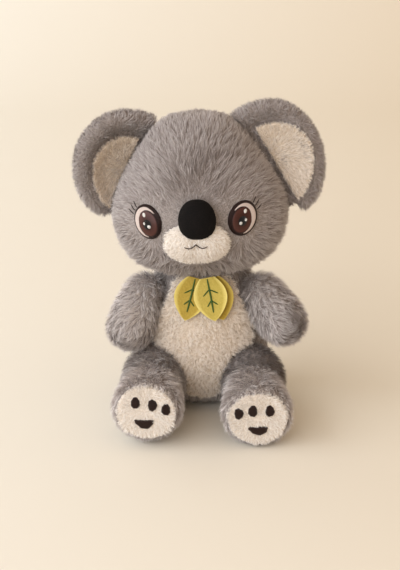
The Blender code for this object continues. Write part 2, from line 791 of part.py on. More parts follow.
# Mouth: one thread on the muzzle
def mouth_curve():
    curve = bpy.data.curves.new("mouth_thread", "CURVE")
    curve.dimensions = "3D"
    curve.bevel_depth = MOUTH_RADIUS
    curve.bevel_resolution = 2
    curve.use_fill_caps = True
    line = curve.splines.new("POLY")
    shares = [2 * i / (MOUTH_POINTS - 1) - 1 for i in range(MOUTH_POINTS)]
    line.points.add(len(shares) - 1)
    tree, _ = world_tree(muzzle)
    to_world = head_frame.matrix_world
    for across, point in zip(shares, line.points):
        sag = MOUTH_DIP * math.sin(abs(across) * MOUTH_ARC)
        start = to_world @ Vector((across * MOUTH_HALF, -PROBE, MOUTH_HEIGHT - sag))
        spot, normal, _, _ = tree.ray_cast(start, to_world.to_3x3() @ Vector((0, 1, 0)))
        point.co = (*(to_head @ (spot + normal * (MOUTH_RADIUS + GAP))), 1)
    return curve


mouth_thread = piece("mouth_thread", mouth_curve(), dark_thread, head_frame)


# Eyes: embroidered layers, each laid on the one below
def make_eye(name, side):
    lean = Matrix.Rotation(side * EYE_LEAN, 4, "Y")
    place = Matrix.Translation((EYES_ACROSS + side * EYE_SPREAD, -PROBE, EYE_CENTRE)) @ lean
    layers = [
        ("rim", (1.0, 1.0, 0.0, 0.0), EYE_RIM_THICKNESS, dark_thread),
        ("white", EYE_WHITE_SHARES, EYE_LAYER_THICKNESS, white_thread),
        ("iris", EYE_IRIS_SHARES, EYE_LAYER_THICKNESS, brown_thread),
        ("pupil", EYE_PUPIL_SHARES, EYE_LAYER_THICKNESS, pupil_thread),
        ("glint", EYE_GLINT_SHARES, EYE_LAYER_THICKNESS, white_thread),
    ]
    lift = GAP
    for layer, (wide, high, out, up), thickness, finish in layers:
        outline = oval(EYE_WIDTH * wide, EYE_HEIGHT * high)
        mesh = patch_mesh(f"eye_{layer}_{name}", EYE_SEGMENTS, EYE_RINGS, outline)
        shift = Matrix.Translation((side * out * EYE_WIDTH, 0, up * EYE_HEIGHT))
        label = f"eye_{layer}_{name}"
        sewn_patch(label, mesh, finish, head_frame, place @ shift, head, thickness, lift)
        lift += thickness + GAP


make_eye("left", 1)
make_eye("right", -1)


# Arms. In an arm's own frame X points down the arm, and its root's centre is the origin
def arm_point(ring, angle):
    along, radius = ARM_SHARES[ring]
    return Vector((along, radius * math.cos(angle), radius * math.sin(angle)))


def make_arm(name, side, spread):
    """An arm that leaves its seam at the spread angle, on an empty at the seam's middle with Z square to it."""
    seam, normal = shoulders[name]
    down = Vector((0, 0, -1))
    downhill = (down - normal * normal.dot(down)).normalized()
    level = Matrix.Rotation(-side * ARM_SWING, 3, normal) @ downhill
    basis = Matrix((level, normal.cross(level), normal)).transposed().to_4x4()
    joint = frame(f"shoulder_joint_{name}", Matrix.Translation(seam) @ basis)
    mesh = ringed_mesh(f"arm_{name}", ARM_COLUMNS, len(ARM_SHARES) - 1, arm_point)
    place = Matrix.Translation((0, 0, ARM_OFF_SEAM)) @ Matrix.Rotation(-spread, 4, "Y")
    arm = smoothed(piece(f"arm_{name}", mesh, grey, joint, place))
    fill_size(
        arm,
        (-ARM_ROOT_RADIUS, -ARM_PAW_RADIUS, -ARM_PAW_RADIUS),
        (ARM_LENGTH + ARM_PAW_RADIUS, ARM_PAW_RADIUS, ARM_PAW_RADIUS),
    )
    cut(arm, half_space(f"arm_seam_{name}", seam + normal * GAP, -normal))


make_arm("left", 1, ARM_LEFT_SPREAD)
make_arm("right", -1, ARM_RIGHT_SPREAD)


# Legs. In a leg's own frame the hip's centre is the origin and the leg points along -Y
FOOT_DROP = HIP_HEIGHT - (FOOT_HEIGHT / 2 - FLAT_CUT)


def leg_rows():
    """Place along the leg, half width, half height and drop of each ring, from the hip's back to the sole."""
    rows = []
    for i in range(LEG_ROOT_ROWS + 1):
        angle = math.pi / 2 * i / LEG_ROOT_ROWS
        out = math.sin(angle)
        rows.append((-HIP_RADIUS * math.cos(angle), HIP_HALF_WIDTH * out, HIP_RADIUS * out, 0))
    for along, blend, fullness in LEG_SHARES:
        half_width = HIP_HALF_WIDTH + (FOOT_WIDTH / 2 - HIP_HALF_WIDTH) * blend
        half_height = HIP_RADIUS + (FOOT_HEIGHT / 2 - HIP_RADIUS) * blend
        rows.append((along * LEG_LENGTH, half_width * fullness, half_height * fullness, FOOT_DROP * blend))
    rows.append((LEG_LENGTH, 0, 0, FOOT_DROP))
    return rows


def palm_outline(angle):
    x, z = oval(PALM_WIDTH, PALM_HEIGHT)(angle)
    bow = PALM_BOW_SHARE * PALM_HEIGHT * (1 - (x / (PALM_WIDTH / 2)) ** 2)
    return x, z - bow


def make_leg(name, side, roll):
    rows = leg_rows()

    def leg_point(ring, angle):
        along, half_width, half_height, drop = rows[ring]
        return Vector((half_width * math.cos(angle), -along, half_height * math.sin(angle) - drop))

    joint = frame(f"hip_joint_{name}", hips[name])
    mesh = ringed_mesh(f"leg_{name}", LEG_COLUMNS, len(rows) - 1, leg_point)
    leg = piece(f"leg_{name}", mesh, grey, joint)
    cut(leg, floor_cut)
    sole_mesh = patch_mesh(
        f"sole_{name}", SOLE_SEGMENTS, SOLE_RINGS, oval(SOLE_WIDTH, SOLE_HEIGHT, SOLE_SQUARENESS)
    )
    sole_place = Matrix.Translation((0, -PROBE, -FOOT_DROP)) @ Matrix.Rotation(roll, 4, "Y")
    sewn_patch(f"sole_{name}", sole_mesh, white, joint, sole_place, leg, SOLE_PILE)
    marks = [(f"toe_{toe}_{name}", place, oval(TOE_WIDTH, TOE_HEIGHT)) for toe, place in TOE_SHARES.items()]
    marks.append((f"palm_{name}", PALM_SHARES, palm_outline))
    for label, (out, up), outline in marks:
        mark = patch_mesh(label, TOE_SEGMENTS, TOE_RINGS, outline)
        shift = Matrix.Translation((side * out * SOLE_WIDTH, 0, up * SOLE_HEIGHT))
        lift = GAP + SOLE_PILE + GAP
        sewn_patch(label, mark, dark_thread, joint, sole_place @ shift, leg, EMBROIDERY_THICKNESS, lift)


make_leg("left", 1, SOLE_LEFT_ROLL)
make_leg("right", -1, SOLE_RIGHT_ROLL)


# Leaves: flat felt outlines, one seam, laid on the belly one over another
def leaf_curve(name):
    curve = bpy.data.curves.new(name, "CURVE")
    curve.dimensions = "2D"
    curve.fill_mode = "BOTH"
    curve.extrude = LEAF_THICKNESS / 2
    edge = []
    for i in range(LEAF_POINTS):
        share = i / (LEAF_POINTS - 1)
        half = LEAF_WIDTH / 2 * math.sin(math.pi * (LEAF_TOP_SHARE + (1 - LEAF_TOP_SHARE) * share))
        edge.append((half, -share * LEAF_LENGTH))
    outline = edge + [(-half, down) for half, down in reversed(edge[:-1])]
    line = curve.splines.new("POLY")
    line.points.add(len(outline) - 1)
    for point, (x, y) in zip(line.points, outline):
        point.co = (x, y, 0, 1)
    line.use_cyclic_u = True
    return curve


belly_tree, belly_points = world_tree(belly_panel)
seam_height = NECK_HEIGHT - LEAF_SEAM_BELOW_NECK
high = belly_tree.ray_cast(Vector((0, -PROBE, seam_height - LEAF_PROBE_BELOW_SEAM)), Vector((0, 1, 0)))[0]
low = belly_tree.ray_cast(Vector((0, -PROBE, seam_height - LEAF_LENGTH)), Vector((0, 1, 0)))[0]
leaf_tilt = math.atan2(high.y - low.y, high.z - low.z)
leaf_front = Vector((0, -math.cos(leaf_tilt), math.sin(leaf_tilt)))
touched = [p for p in belly_points if abs(p.x) < LEAF_WIDTH and p.z > seam_height - LEAF_LENGTH - LEAF_WIDTH]
leaf_reach = max(leaf_front.dot(p) for p in touched)
leaf_y = (leaf_reach - leaf_front.z * seam_height) / leaf_front.y
leaf_joint = frame(
    "leaf_joint", Matrix.Translation((0, leaf_y, seam_height)) @ Matrix.Rotation(-leaf_tilt, 4, "X")
)
LEAVES = [
    ("back", LEAF_BACK_ACROSS, LEAF_BACK_LEAN, shade_felt),
    ("right", LEAF_RIGHT_ACROSS, LEAF_RIGHT_LEAN, light_felt),
    ("left", LEAF_LEFT_ACROSS, LEAF_LEFT_LEAN, light_felt),
]
for layer, (name, across, lean, finish) in enumerate(LEAVES):
    ahead = GAP + LEAF_THICKNESS / 2 + layer * (LEAF_THICKNESS + GAP)
    place = (
        Matrix.Translation((across, -ahead, 0))
        @ Matrix.Rotation(lean, 4, "Y")
        @ Matrix.Rotation(math.radians(90), 4, "X")
    )
    piece(f"leaf_{name}", leaf_curve(f"leaf_{name}"), finish, leaf_joint, place)
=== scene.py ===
"""Looks of a seated plush koala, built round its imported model.

Each plush form is a smooth skin with a coat of combed strands on it. The eyes, mouth, toes and leaf veins are
embroidered, the nose is a padded fabric button and the leaves are felt. Every piece rides on the body of the
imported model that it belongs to.
"""

import json
import logging
import math
from collections.abc import Callable, Iterable, Sequence
from dataclasses import dataclass, field
from enum import Enum

import bpy
import numpy as np
from mathutils import Matrix, Vector
from mathutils.bvhtree import BVHTree
from mathutils.kdtree import KDTree


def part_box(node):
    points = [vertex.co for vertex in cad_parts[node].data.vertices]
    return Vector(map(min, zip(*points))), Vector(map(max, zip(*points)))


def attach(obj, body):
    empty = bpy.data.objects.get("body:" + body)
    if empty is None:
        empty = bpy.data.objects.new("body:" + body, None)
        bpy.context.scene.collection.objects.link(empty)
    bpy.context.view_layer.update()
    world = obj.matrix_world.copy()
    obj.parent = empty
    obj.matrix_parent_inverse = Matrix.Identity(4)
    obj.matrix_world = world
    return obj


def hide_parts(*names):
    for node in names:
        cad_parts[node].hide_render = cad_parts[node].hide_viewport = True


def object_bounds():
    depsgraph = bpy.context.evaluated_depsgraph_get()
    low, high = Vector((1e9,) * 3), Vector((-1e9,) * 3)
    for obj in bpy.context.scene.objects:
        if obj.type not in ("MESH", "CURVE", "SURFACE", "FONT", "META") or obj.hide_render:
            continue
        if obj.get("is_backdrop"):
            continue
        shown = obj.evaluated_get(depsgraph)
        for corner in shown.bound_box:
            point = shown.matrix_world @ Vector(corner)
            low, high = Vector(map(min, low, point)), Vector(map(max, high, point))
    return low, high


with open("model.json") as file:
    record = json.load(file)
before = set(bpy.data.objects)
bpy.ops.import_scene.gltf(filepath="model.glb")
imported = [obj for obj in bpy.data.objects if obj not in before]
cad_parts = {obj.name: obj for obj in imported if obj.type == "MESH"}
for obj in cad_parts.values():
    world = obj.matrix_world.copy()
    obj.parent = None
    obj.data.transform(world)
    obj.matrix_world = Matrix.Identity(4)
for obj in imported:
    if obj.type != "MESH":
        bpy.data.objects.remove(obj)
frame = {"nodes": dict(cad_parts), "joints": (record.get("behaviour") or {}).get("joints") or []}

MM = 0.001
PILE_MAP = "OFBake"
PATCH_MAP = "patch"

log = logging.getLogger("koala")

Colour = tuple[float, float, float]
Array = np.ndarray
Rule = Callable[[Array, Array], Array]
Outline = Callable[[float], tuple[float, float]]


class Side(Enum):
    """The toy's own left and right."""

    LEFT = "left"
    RIGHT = "right"

    @property
    def sign(self) -> int:
        """Plus one on the toy's left, which is +X."""
        return 1 if self is Side.LEFT else -1


# Shader building


class Value:
    """A number in a shader, worked on with Python's own operators."""

    def __init__(self, bench: "Bench", socket: bpy.types.NodeSocket) -> None:
        """Wraps an output socket of the bench's node tree."""
        self.bench = bench
        self.socket = socket

    def _maths(self, operation: str, first: "Value | float", second: "Value | float" = 0.0) -> "Value":
        """Adds one Math node."""
        made = self.bench.node("ShaderNodeMath", {"operation": operation}, {0: first, 1: second})
        return Value(self.bench, made.outputs[0])

    def __add__(self, other: "Value | float") -> "Value":
        """Sum."""
        return self._maths("ADD", self, other)

    __radd__ = __add__

    def __sub__(self, other: "Value | float") -> "Value":
        """Difference."""
        return self._maths("SUBTRACT", self, other)

    def __rsub__(self, other: float) -> "Value":
        """Difference from a number."""
        return self._maths("SUBTRACT", other, self)

    def __mul__(self, other: "Value | float") -> "Value":
        """Product."""
        return self._maths("MULTIPLY", self, other)

    __rmul__ = __mul__

    def __truediv__(self, other: "Value | float") -> "Value":
        """Quotient."""
        return self._maths("DIVIDE", self, other)

    def __pow__(self, power: float) -> "Value":
        """Power."""
        return self._maths("POWER", self, power)

    def clamped(self) -> "Value":
        """The value held between 0 and 1."""
        made = self.bench.node("ShaderNodeClamp", {}, {"Value": self})
        return Value(self.bench, made.outputs[0])


class Bench:
    """Builds the nodes of one material."""

    def __init__(self, name: str) -> None:
        """Makes the material with its Principled shader."""
        self.material = bpy.data.materials.new(name)
        self.material.use_nodes = True
        self.tree = self.material.node_tree
        self.shader = self.tree.nodes["Principled BSDF"]

    def node(self, kind: str, settings: dict | None = None, inputs: dict | None = None) -> bpy.types.Node:
        """Adds a node.

        Args:
            kind: The node's type.
            settings: Its properties, which are set first. "stops" holds a ramp's places and colours.
            inputs: Values or links of its sockets, by name or number.

        Returns:
            The node.
        """
        made = self.tree.nodes.new(kind)
        for key, value in (settings or {}).items():
            if key == "stops":
                elements = made.color_ramp.elements
                while len(elements) < len(value):
                    elements.new(0.5)
                for element, (place, colour) in zip(elements, value):
                    element.position = place
                    element.color = (*colour, 1.0)
            else:
                setattr(made, key, value)
        for key, value in (inputs or {}).items():
            self.feed(made.inputs[key], value)
        return made

    def feed(self, socket: bpy.types.NodeSocket, value: object) -> None:
        """Links a socket to an output, or sets its value."""
        if isinstance(value, Value):
            value = value.socket
        if isinstance(value, bpy.types.NodeSocket):
            self.tree.links.new(value, socket)
        elif isinstance(value, tuple) and len(value) == 3 and len(socket.default_value) == 4:
            socket.default_value = (*value, 1.0)
        else:
            socket.default_value = value

    def set(self, **inputs: object) -> None:
        """Sets or links sockets of the shader, with spaces in their names written as underscores."""
        for key, value in inputs.items():
            self.feed(self.shader.inputs[key.replace("_", " ")], value)

    def mix(self, share: "Value | float", low: object, high: object) -> bpy.types.NodeSocket:
        """A colour between two, by a share."""
        made = self.node("ShaderNodeMix", {"data_type": "RGBA"}, {0: share, 6: low, 7: high})
        return made.outputs[2]

    def ramp(self, value: Value, stops: Sequence[tuple[float, Colour]]) -> bpy.types.NodeSocket:
        """A colour from a ramp."""
        return self.node("ShaderNodeValToRGB", {"stops": stops}, {0: value}).outputs[0]

    def map_place(self, name: str) -> tuple[Value, Value, bpy.types.NodeSocket]:
        """The two coordinates of a UV map, and its vector."""
        vector = self.node("ShaderNodeUVMap", {"uv_map": name}).outputs[0]
        parts = self.node("ShaderNodeSeparateXYZ", {}, {0: vector})
        return Value(self, parts.outputs[0]), Value(self, parts.outputs[1]), vector

    def noise(self, scale: float, detail: float = 2.0, vector: bpy.types.NodeSocket | None = None) -> Value:
        """Noise over the surface, in object space unless a vector is given."""
        if vector is None:
            vector = self.node("ShaderNodeTexCoord").outputs["Object"]
        inputs = {"Vector": vector, "Scale": scale, "Detail": detail}
        return Value(self, self.node("ShaderNodeTexNoise", {}, inputs).outputs[0])

    def bump(self, height: Value, depth: float, strength: float = 1.0) -> None:
        """Feeds the shader's normal from a height, with the depth in metres."""
        inputs = {"Height": height, "Distance": depth, "Strength": strength}
        self.set(Normal=self.node("ShaderNodeBump", {}, inputs).outputs[0])


# Finishes


@dataclass(frozen=True)
class PileFinish:
    """Strands of a plush: darker at the root, with a tone of their own each, into which painted shade and
    light are mixed.
    """

    name: str
    slot: str
    root: Colour
    middle: Colour
    tip: Colour
    # Colour of the darker tones, and of the painted shade laid on by the coats' shade rules.
    dark: Colour
    tone_share: float
    roughness: float = 0.75
    sheen: float = 0.12
    specular: float = 0.3

    def material(self) -> bpy.types.Material:
        """Colour from the strand's tone, which carries painted shade and light, and the place along it."""
        bench = Bench(self.name)
        tone, along, _ = bench.map_place(PILE_MAP)
        lit = bench.ramp(along, [(0.0, self.root), (0.5, self.middle), (1.0, self.tip)])
        colour = bench.mix((tone * self.tone_share).clamped(), lit, self.dark)
        bench.set(Base_Color=colour, Roughness=self.roughness, Specular_IOR_Level=self.specular)
        bench.set(Sheen_Weight=self.sheen, Sheen_Roughness=0.5)
        return bench.material


@dataclass(frozen=True)
class BackingFinish:
    """The knitted backing, darker than its pile: painted shade for the roots between the strands."""

    name: str
    slot: str
    low: Colour
    high: Colour
    grain: float = 900.0

    def material(self) -> bpy.types.Material:
        """Fine mottled colour with a short nap."""
        bench = Bench(self.name)
        grain = bench.noise(self.grain, 3.0)
        bench.set(Base_Color=bench.ramp(grain, [(0.35, self.low), (0.65, self.high)]), Roughness=0.95)
        bench.bump(grain, 0.4 * MM)
        return bench.material


@dataclass(frozen=True)
class ThreadFinish:
    """Satin stitches side by side."""

    name: str
    slot: str
    colour: Colour
    shade: Colour
    roughness: float = 0.42
    pitch: float = 26.0
    specular: float = 0.25

    def material(self) -> bpy.types.Material:
        """Stitches in rows across the patch, each a little different."""
        bench = Bench(self.name)
        _, _, place = bench.map_place(PATCH_MAP)
        settings = {"wave_type": "BANDS", "bands_direction": "X"}
        wave_inputs = {"Vector": place, "Scale": self.pitch, "Distortion": 0.8, "Detail": 1.0}
        rows = Value(bench, bench.node("ShaderNodeTexWave", settings, wave_inputs).outputs[1])
        fibres = bench.noise(40.0, 2.0, place)
        share = (rows * 0.35 + fibres * 0.65).clamped()
        bench.set(Base_Color=bench.mix(share, self.shade, self.colour), Roughness=self.roughness)
        bench.set(Specular_IOR_Level=self.specular)
        bench.bump(rows, 0.12 * MM)
        return bench.material


@dataclass(frozen=True)
class IrisFinish:
    """A red-brown iris of radial stitches, darker at its edge."""

    name: str
    slot: str
    inner: Colour
    outer: Colour
    edge: Colour

    def material(self) -> bpy.types.Material:
        """Colour by the distance from the iris's middle, lighter toward its foot."""
        bench = Bench(self.name)
        across, up, place = bench.map_place(PATCH_MAP)
        reach = ((across - 0.5) ** 2.0 + (up - 0.5) ** 2.0) ** 0.5 * 2.0
        colour = bench.ramp(reach, [(0.3, self.inner), (0.8, self.outer), (0.97, self.edge)])
        fibres = bench.noise(22.0, 3.0, place)
        light = bench.mix((fibres * 0.5).clamped(), colour, self.edge)
        bench.set(Base_Color=light, Roughness=0.4, Specular_IOR_Level=0.25)
        bench.set(Coat_Weight=0.08, Coat_Roughness=0.2)
        bench.bump(fibres, 0.06 * MM)
        return bench.material


@dataclass(frozen=True)
class FabricFinish:
    """A close fabric with a fine nap."""

    name: str
    slot: str
    colour: Colour
    shade: Colour
    grain: float = 1500.0
    depth: float = 0.25 * MM
    roughness: float = 0.8
    specular: float = 0.2

    def material(self) -> bpy.types.Material:
        """Nap over a fine knit."""
        bench = Bench(self.name)
        nap = bench.noise(self.grain, 4.0)
        broad = bench.noise(self.grain / 12.0, 2.0)
        share = (nap * 0.7 + broad * 0.3).clamped()
        colour = bench.ramp(share, [(0.3, self.shade), (0.7, self.colour)])
        bench.set(Base_Color=colour, Roughness=self.roughness)
        bench.set(Specular_IOR_Level=self.specular)
        bench.bump(nap, self.depth)
        return bench.material


@dataclass(frozen=True)
class FeltFinish:
    """Felt with paler cut edges, a painted highlight along the cut."""

    name: str
    slot: str
    colour: Colour
    shade: Colour
    # Colour of the painted highlight along the cut edge.
    cut: Colour
    grain: float = 700.0

    def material(self) -> bpy.types.Material:
        """Matted wool, its colour lifted close to the cut by a painted highlight."""
        bench = Bench(self.name)
        across, _, _ = bench.map_place(PATCH_MAP)
        fibres = bench.noise(self.grain, 4.0)
        broad = bench.noise(self.grain / 10.0, 2.0)
        share = (fibres * 0.6 + broad * 0.4).clamped()
        wool = bench.ramp(share, [(0.3, self.shade), (0.7, self.colour)])
        near_cut_highlight = ((across - 0.78) * 5.0).clamped()
        bench.set(Base_Color=bench.mix(near_cut_highlight, wool, self.cut), Roughness=0.92)
        bench.set(Specular_IOR_Level=0.15)
        bench.bump(fibres, 0.35 * MM)
        return bench.material


@dataclass(frozen=True)
class StageFinish:
    """The plain sweep under and behind the toy, a little warmer and darker on the right: painted light, paler
    on the left where the window lamp falls.
    """

    name: str
    left: Colour
    right: Colour
    span: float = 0.6

    def material(self) -> bpy.types.Material:
        """Painted light: a slow change of a pale matte colour from left to right."""
        bench = Bench(self.name)
        place = bench.node("ShaderNodeTexCoord").outputs["Object"]
        across = Value(bench, bench.node("ShaderNodeSeparateXYZ", {}, {0: place}).outputs[0])
        share = (across / self.span + 0.5).clamped()
        bench.set(Base_Color=bench.mix(share, self.left, self.right), Roughness=0.95)
        bench.set(Specular_IOR_Level=0.1)
        return bench.material


GREY_COAT = PileFinish(
    "grey_pile",
    "grey_plush",
    root=(0.28, 0.235, 0.22),
    middle=(0.48, 0.435, 0.425),
    tip=(0.68, 0.65, 0.655),
    dark=(0.14, 0.108, 0.095),
    tone_share=0.9,
)
# Painted light: the same grey plush as GREY_COAT, made much lighter on the limbs and torso to stand in for the
# light their pile catches.
LIMB_COAT_PAINTED_LIGHT = PileFinish(
    "limb_pile_painted_light",
    "grey_plush",
    root=(0.56, 0.50, 0.48),
    middle=(0.78, 0.735, 0.725),
    tip=(0.92, 0.895, 0.90),
    dark=(0.15, 0.118, 0.105),
    tone_share=0.9,
)
# Painted shade: each backing is darker than its pile, for the shaded gaps between the strands.
GREY_BACK = BackingFinish("grey_backing", "grey_plush", (0.20, 0.175, 0.165), (0.34, 0.30, 0.285))
CREAM_COAT = PileFinish(
    "cream_pile",
    "cream_plush",
    root=(0.74, 0.64, 0.53),
    middle=(0.90, 0.82, 0.73),
    tip=(0.96, 0.91, 0.84),
    dark=(0.58, 0.47, 0.38),
    tone_share=0.7,
)
CREAM_BACK = BackingFinish("cream_backing", "cream_plush", (0.5, 0.41, 0.31), (0.7, 0.6, 0.49))
WHITE_COAT = PileFinish(
    "white_pile",
    "white_plush",
    root=(0.74, 0.67, 0.6),
    middle=(0.9, 0.86, 0.81),
    tip=(0.96, 0.94, 0.91),
    dark=(0.62, 0.54, 0.47),
    tone_share=0.5,
)
WHITE_BACK = BackingFinish("white_backing", "white_plush", (0.62, 0.54, 0.46), (0.84, 0.78, 0.71))
NOSE_FABRIC = FabricFinish(
    "nose_fabric", "black_fabric", (0.008, 0.006, 0.006), (0.003, 0.003, 0.003), 1500.0, 0.25 * MM, 0.85, 0.12
)
SEAT_FABRIC = FabricFinish("seat_knit", "seat_fabric", (0.22, 0.18, 0.17), (0.14, 0.11, 0.10), 900.0)
BAG_FABRIC = FabricFinish("bag_cloth", "bag_fabric", (0.62, 0.58, 0.52), (0.48, 0.44, 0.38), 700.0)
DARK_THREAD = ThreadFinish("dark_stitch", "dark_thread", (0.035, 0.014, 0.011), (0.012, 0.005, 0.004))
RIM_THREAD = ThreadFinish("rim_stitch", "dark_thread", (0.03, 0.012, 0.01), (0.01, 0.004, 0.004))
WHITE_THREAD = ThreadFinish("cream_stitch", "white_thread", (0.80, 0.70, 0.66), (0.62, 0.51, 0.47))
PUPIL_THREAD = ThreadFinish(
    "pupil_stitch", "pupil_thread", (0.008, 0.008, 0.010), (0.003, 0.003, 0.004), 0.3, 20.0, 0.3
)
GLINT_THREAD = ThreadFinish("glint_stitch", "white_thread", (0.95, 0.95, 0.93), (0.86, 0.86, 0.84), 0.3)
IRIS_THREAD = IrisFinish(
    "iris_stitch", "brown_thread", (0.040, 0.011, 0.008), (0.085, 0.026, 0.020), (0.014, 0.004, 0.003)
)
VEIN_THREAD = ThreadFinish("vein_stitch", "shade_felt", (0.05, 0.12, 0.02), (0.03, 0.07, 0.012), 0.6, 60.0)
FRONT_FELT = FeltFinish(
    "front_felt", "light_felt", (0.58, 0.47, 0.115), (0.44, 0.34, 0.07), (0.80, 0.68, 0.22)
)
# Painted shade: the next two are darker copies of the front leaf's felt, for the right leaf and, darkest, the
# leaf behind.
SHADED_SIDE_FELT = FeltFinish(
    "side_felt_shaded", "light_felt", (0.50, 0.37, 0.075), (0.37, 0.26, 0.045), (0.76, 0.63, 0.19)
)
SHADE_FELT = FeltFinish(
    "shade_felt", "shade_felt", (0.44, 0.31, 0.05), (0.32, 0.21, 0.03), (0.55, 0.42, 0.10)
)
SWEEP = StageFinish("sweep", (0.87, 0.86, 0.80), (0.80, 0.74, 0.63))


class Wardrobe:
    """Makes each finish's material once."""

    def __init__(self) -> None:
        """Starts empty."""
        self.made: dict[str, bpy.types.Material] = {}

    def material(self, finish: object) -> bpy.types.Material:
        """The finish's material."""
        if finish.name not in self.made:
            self.made[finish.name] = finish.material()
        return self.made[finish.name]


WARDROBE = Wardrobe()


# Mesh building


def new_object(name: str, data: bpy.types.ID) -> bpy.types.Object:
    """An object of that mesh, curve, camera or light, in the scene."""
    made = bpy.data.objects.new(name, data)
    bpy.context.scene.collection.objects.link(made)
    return made


def dress(obj: bpy.types.Object, finish: object, body: str, replaced: Sequence[str] = ()) -> bpy.types.Object:
    """Gives a piece its finish, the body it rides on and the nodes that it stands for.

    Args:
        obj: The piece.
        finish: Its finish.
        body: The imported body.
        replaced: Nodes that it replaces.

    Returns:
        The piece.
    """
    obj.data.materials.clear()
    obj.data.materials.append(WARDROBE.material(finish))
    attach(obj, body)
    if replaced:
        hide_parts(*replaced)
    log.info("%s rides on %s", obj.name, body)
    return obj


def unit(vectors: Array) -> Array:
    """Vectors at length 1."""
    return vectors / np.maximum(np.linalg.norm(vectors, axis=-1, keepdims=True), 1e-9)


def along_surface(directions: Array, normals: Array) -> Array:
    """Directions laid flat on the surface, at length 1."""
    return unit(directions - normals * np.sum(directions * normals, axis=1, keepdims=True))


def near(points: Array, centre: Sequence[float], reach: float) -> Array:
    """1 at the centre, falling to 0 well past the reach, as a column."""
    return np.exp(-np.sum((points - np.array(centre)) ** 2, axis=1, keepdims=True) / reach**2)


def ramp(values: Array, start: float, span: float) -> Array:
    """0 at the start, rising to 1 over the span. A negative span falls the other way."""
    return np.clip((values - start) / span, 0.0, 1.0)


def box_of(node: str) -> tuple[Array, Array]:
    """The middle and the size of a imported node's box."""
    low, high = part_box(node)
    return np.array((low + high) / 2), np.array(high - low)


def joint_of(body: str) -> dict:
    """The joint that moves a body."""
    return next(joint for joint in frame["joints"] if joint["child"] == body)


def drift(points: Array, wavelength: float, seed: int) -> Array:
    """A smooth wandering value from about -1 to 1 over the points."""
    rng = np.random.default_rng(seed)
    total = np.zeros(len(points))
    for _ in range(4):
        wave = unit(rng.normal(size=3)) * (2 * math.pi / wavelength) * rng.uniform(0.7, 1.5)
        total += np.sin(points @ wave + rng.uniform(0, 2 * math.pi))
    return total / 2.4


@dataclass
class Skin:
    """A smooth skin over a packed soft form, with its surface as arrays."""

    obj: bpy.types.Object
    points: Array = field(init=False)
    normals: Array = field(init=False)
    triangles: Array = field(init=False)

    def __post_init__(self) -> None:
        """Reads the mesh into arrays."""
        mesh = self.obj.data
        mesh.calc_loop_triangles()
        self.points = self._read(mesh.vertices, "co", np.float32).astype(float)
        self.normals = self._read(mesh.vertex_normals, "vector", np.float32).astype(float)
        self.triangles = self._read(mesh.loop_triangles, "vertices", np.int32)

    @staticmethod
    def _read(items: bpy.types.bpy_prop_collection, key: str, kind: type) -> Array:
        """One property of every item, three numbers to a row."""
        values = np.empty(len(items) * 3, kind)
        items.foreach_get(key, values)
        return values.reshape(-1, 3)

    def tree(self) -> BVHTree:
        """A search tree of the skin."""
        return BVHTree.FromPolygons([tuple(p) for p in self.points], [tuple(t) for t in self.triangles])


def make_skin(name: str, node: str, voxel: float, sink: float, passes: int = 6) -> Skin:
    """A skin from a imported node's form.

    Args:
        name: The piece's name.
        node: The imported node.
        voxel: Size of the even mesh's cells.
        sink: How far it lies inside the form.
        passes: Smoothing passes.

    Returns:
        The skin.
    """
    guide = new_object(f"{name}.guide", frame["nodes"][node].data.copy())
    even = guide.modifiers.new("even", "REMESH")
    even.mode = "VOXEL"
    even.voxel_size = voxel
    soften = guide.modifiers.new("soften", "SMOOTH")
    soften.factor = 0.5
    soften.iterations = passes
    if sink:
        inward = guide.modifiers.new("inward", "DISPLACE")
        inward.strength = -sink
        inward.mid_level = 0.0
    graph = bpy.context.evaluated_depsgraph_get()
    mesh = bpy.data.meshes.new_from_object(guide.evaluated_get(graph))
    bpy.data.objects.remove(guide)
    mesh.name = name
    mesh.polygons.foreach_set("use_smooth", [True] * len(mesh.polygons))
    mesh.update()
    return Skin(new_object(name, mesh))


def node_tree(node: str) -> BVHTree:
    """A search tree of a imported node."""
    mesh = frame["nodes"][node].data
    return BVHTree.FromPolygons([v.co[:] for v in mesh.vertices], [tuple(p.vertices) for p in mesh.polygons])


def node_trees(*nodes: str) -> list[BVHTree]:
    """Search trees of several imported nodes."""
    return [node_tree(node) for node in nodes]


def gaps_to(tree: BVHTree, points: Array) -> Array:
    """How far each point is from a surface."""
    return np.array([tree.find_nearest(point)[3] for point in points])


def padded_skin(name: str, node: str, finish: object, body: str, fill: float, *cells: float) -> Skin:
    """A padded skin that stands for its node, with make_skin's voxel, sink and passes as cells."""
    skin = make_skin(name, node, *cells)
    dress(skin.obj, finish, body, [node])
    return skin


def clear_of(points: Array, trees: Iterable[BVHTree], clearance: float) -> Array:
    """Which points keep that far from every tree's surface."""
    keep = np.ones(len(points), bool)
    for tree in trees:
        for i in np.flatnonzero(keep):
            keep[i] = tree.find_nearest(points[i], clearance)[0] is None
    return keep


@dataclass(frozen=True)
class Pile:
    """How the strands of one plush stand.

    Attributes:
        length: Usual length of a strand.
        width: Width at its root.
        spacing: Usual distance between roots.
        lift: How steeply it leaves the skin, from 0 to 1.
        settle: How flat it ends, from 0 to 1.
        lock: How far the strands of a lock close up at their tips.
        lock_width: Width of a lock.
        stray: How much the comb direction wanders, in radians.
        guard_share: Share of longer, lighter strands.
        steps: Lengthwise steps in a strand.
    """

    length: float
    width: float
    spacing: float
    lift: float
    settle: float
    lock: float
    lock_width: float
    stray: float
    guard_share: float = 0.0
    steps: int = 2


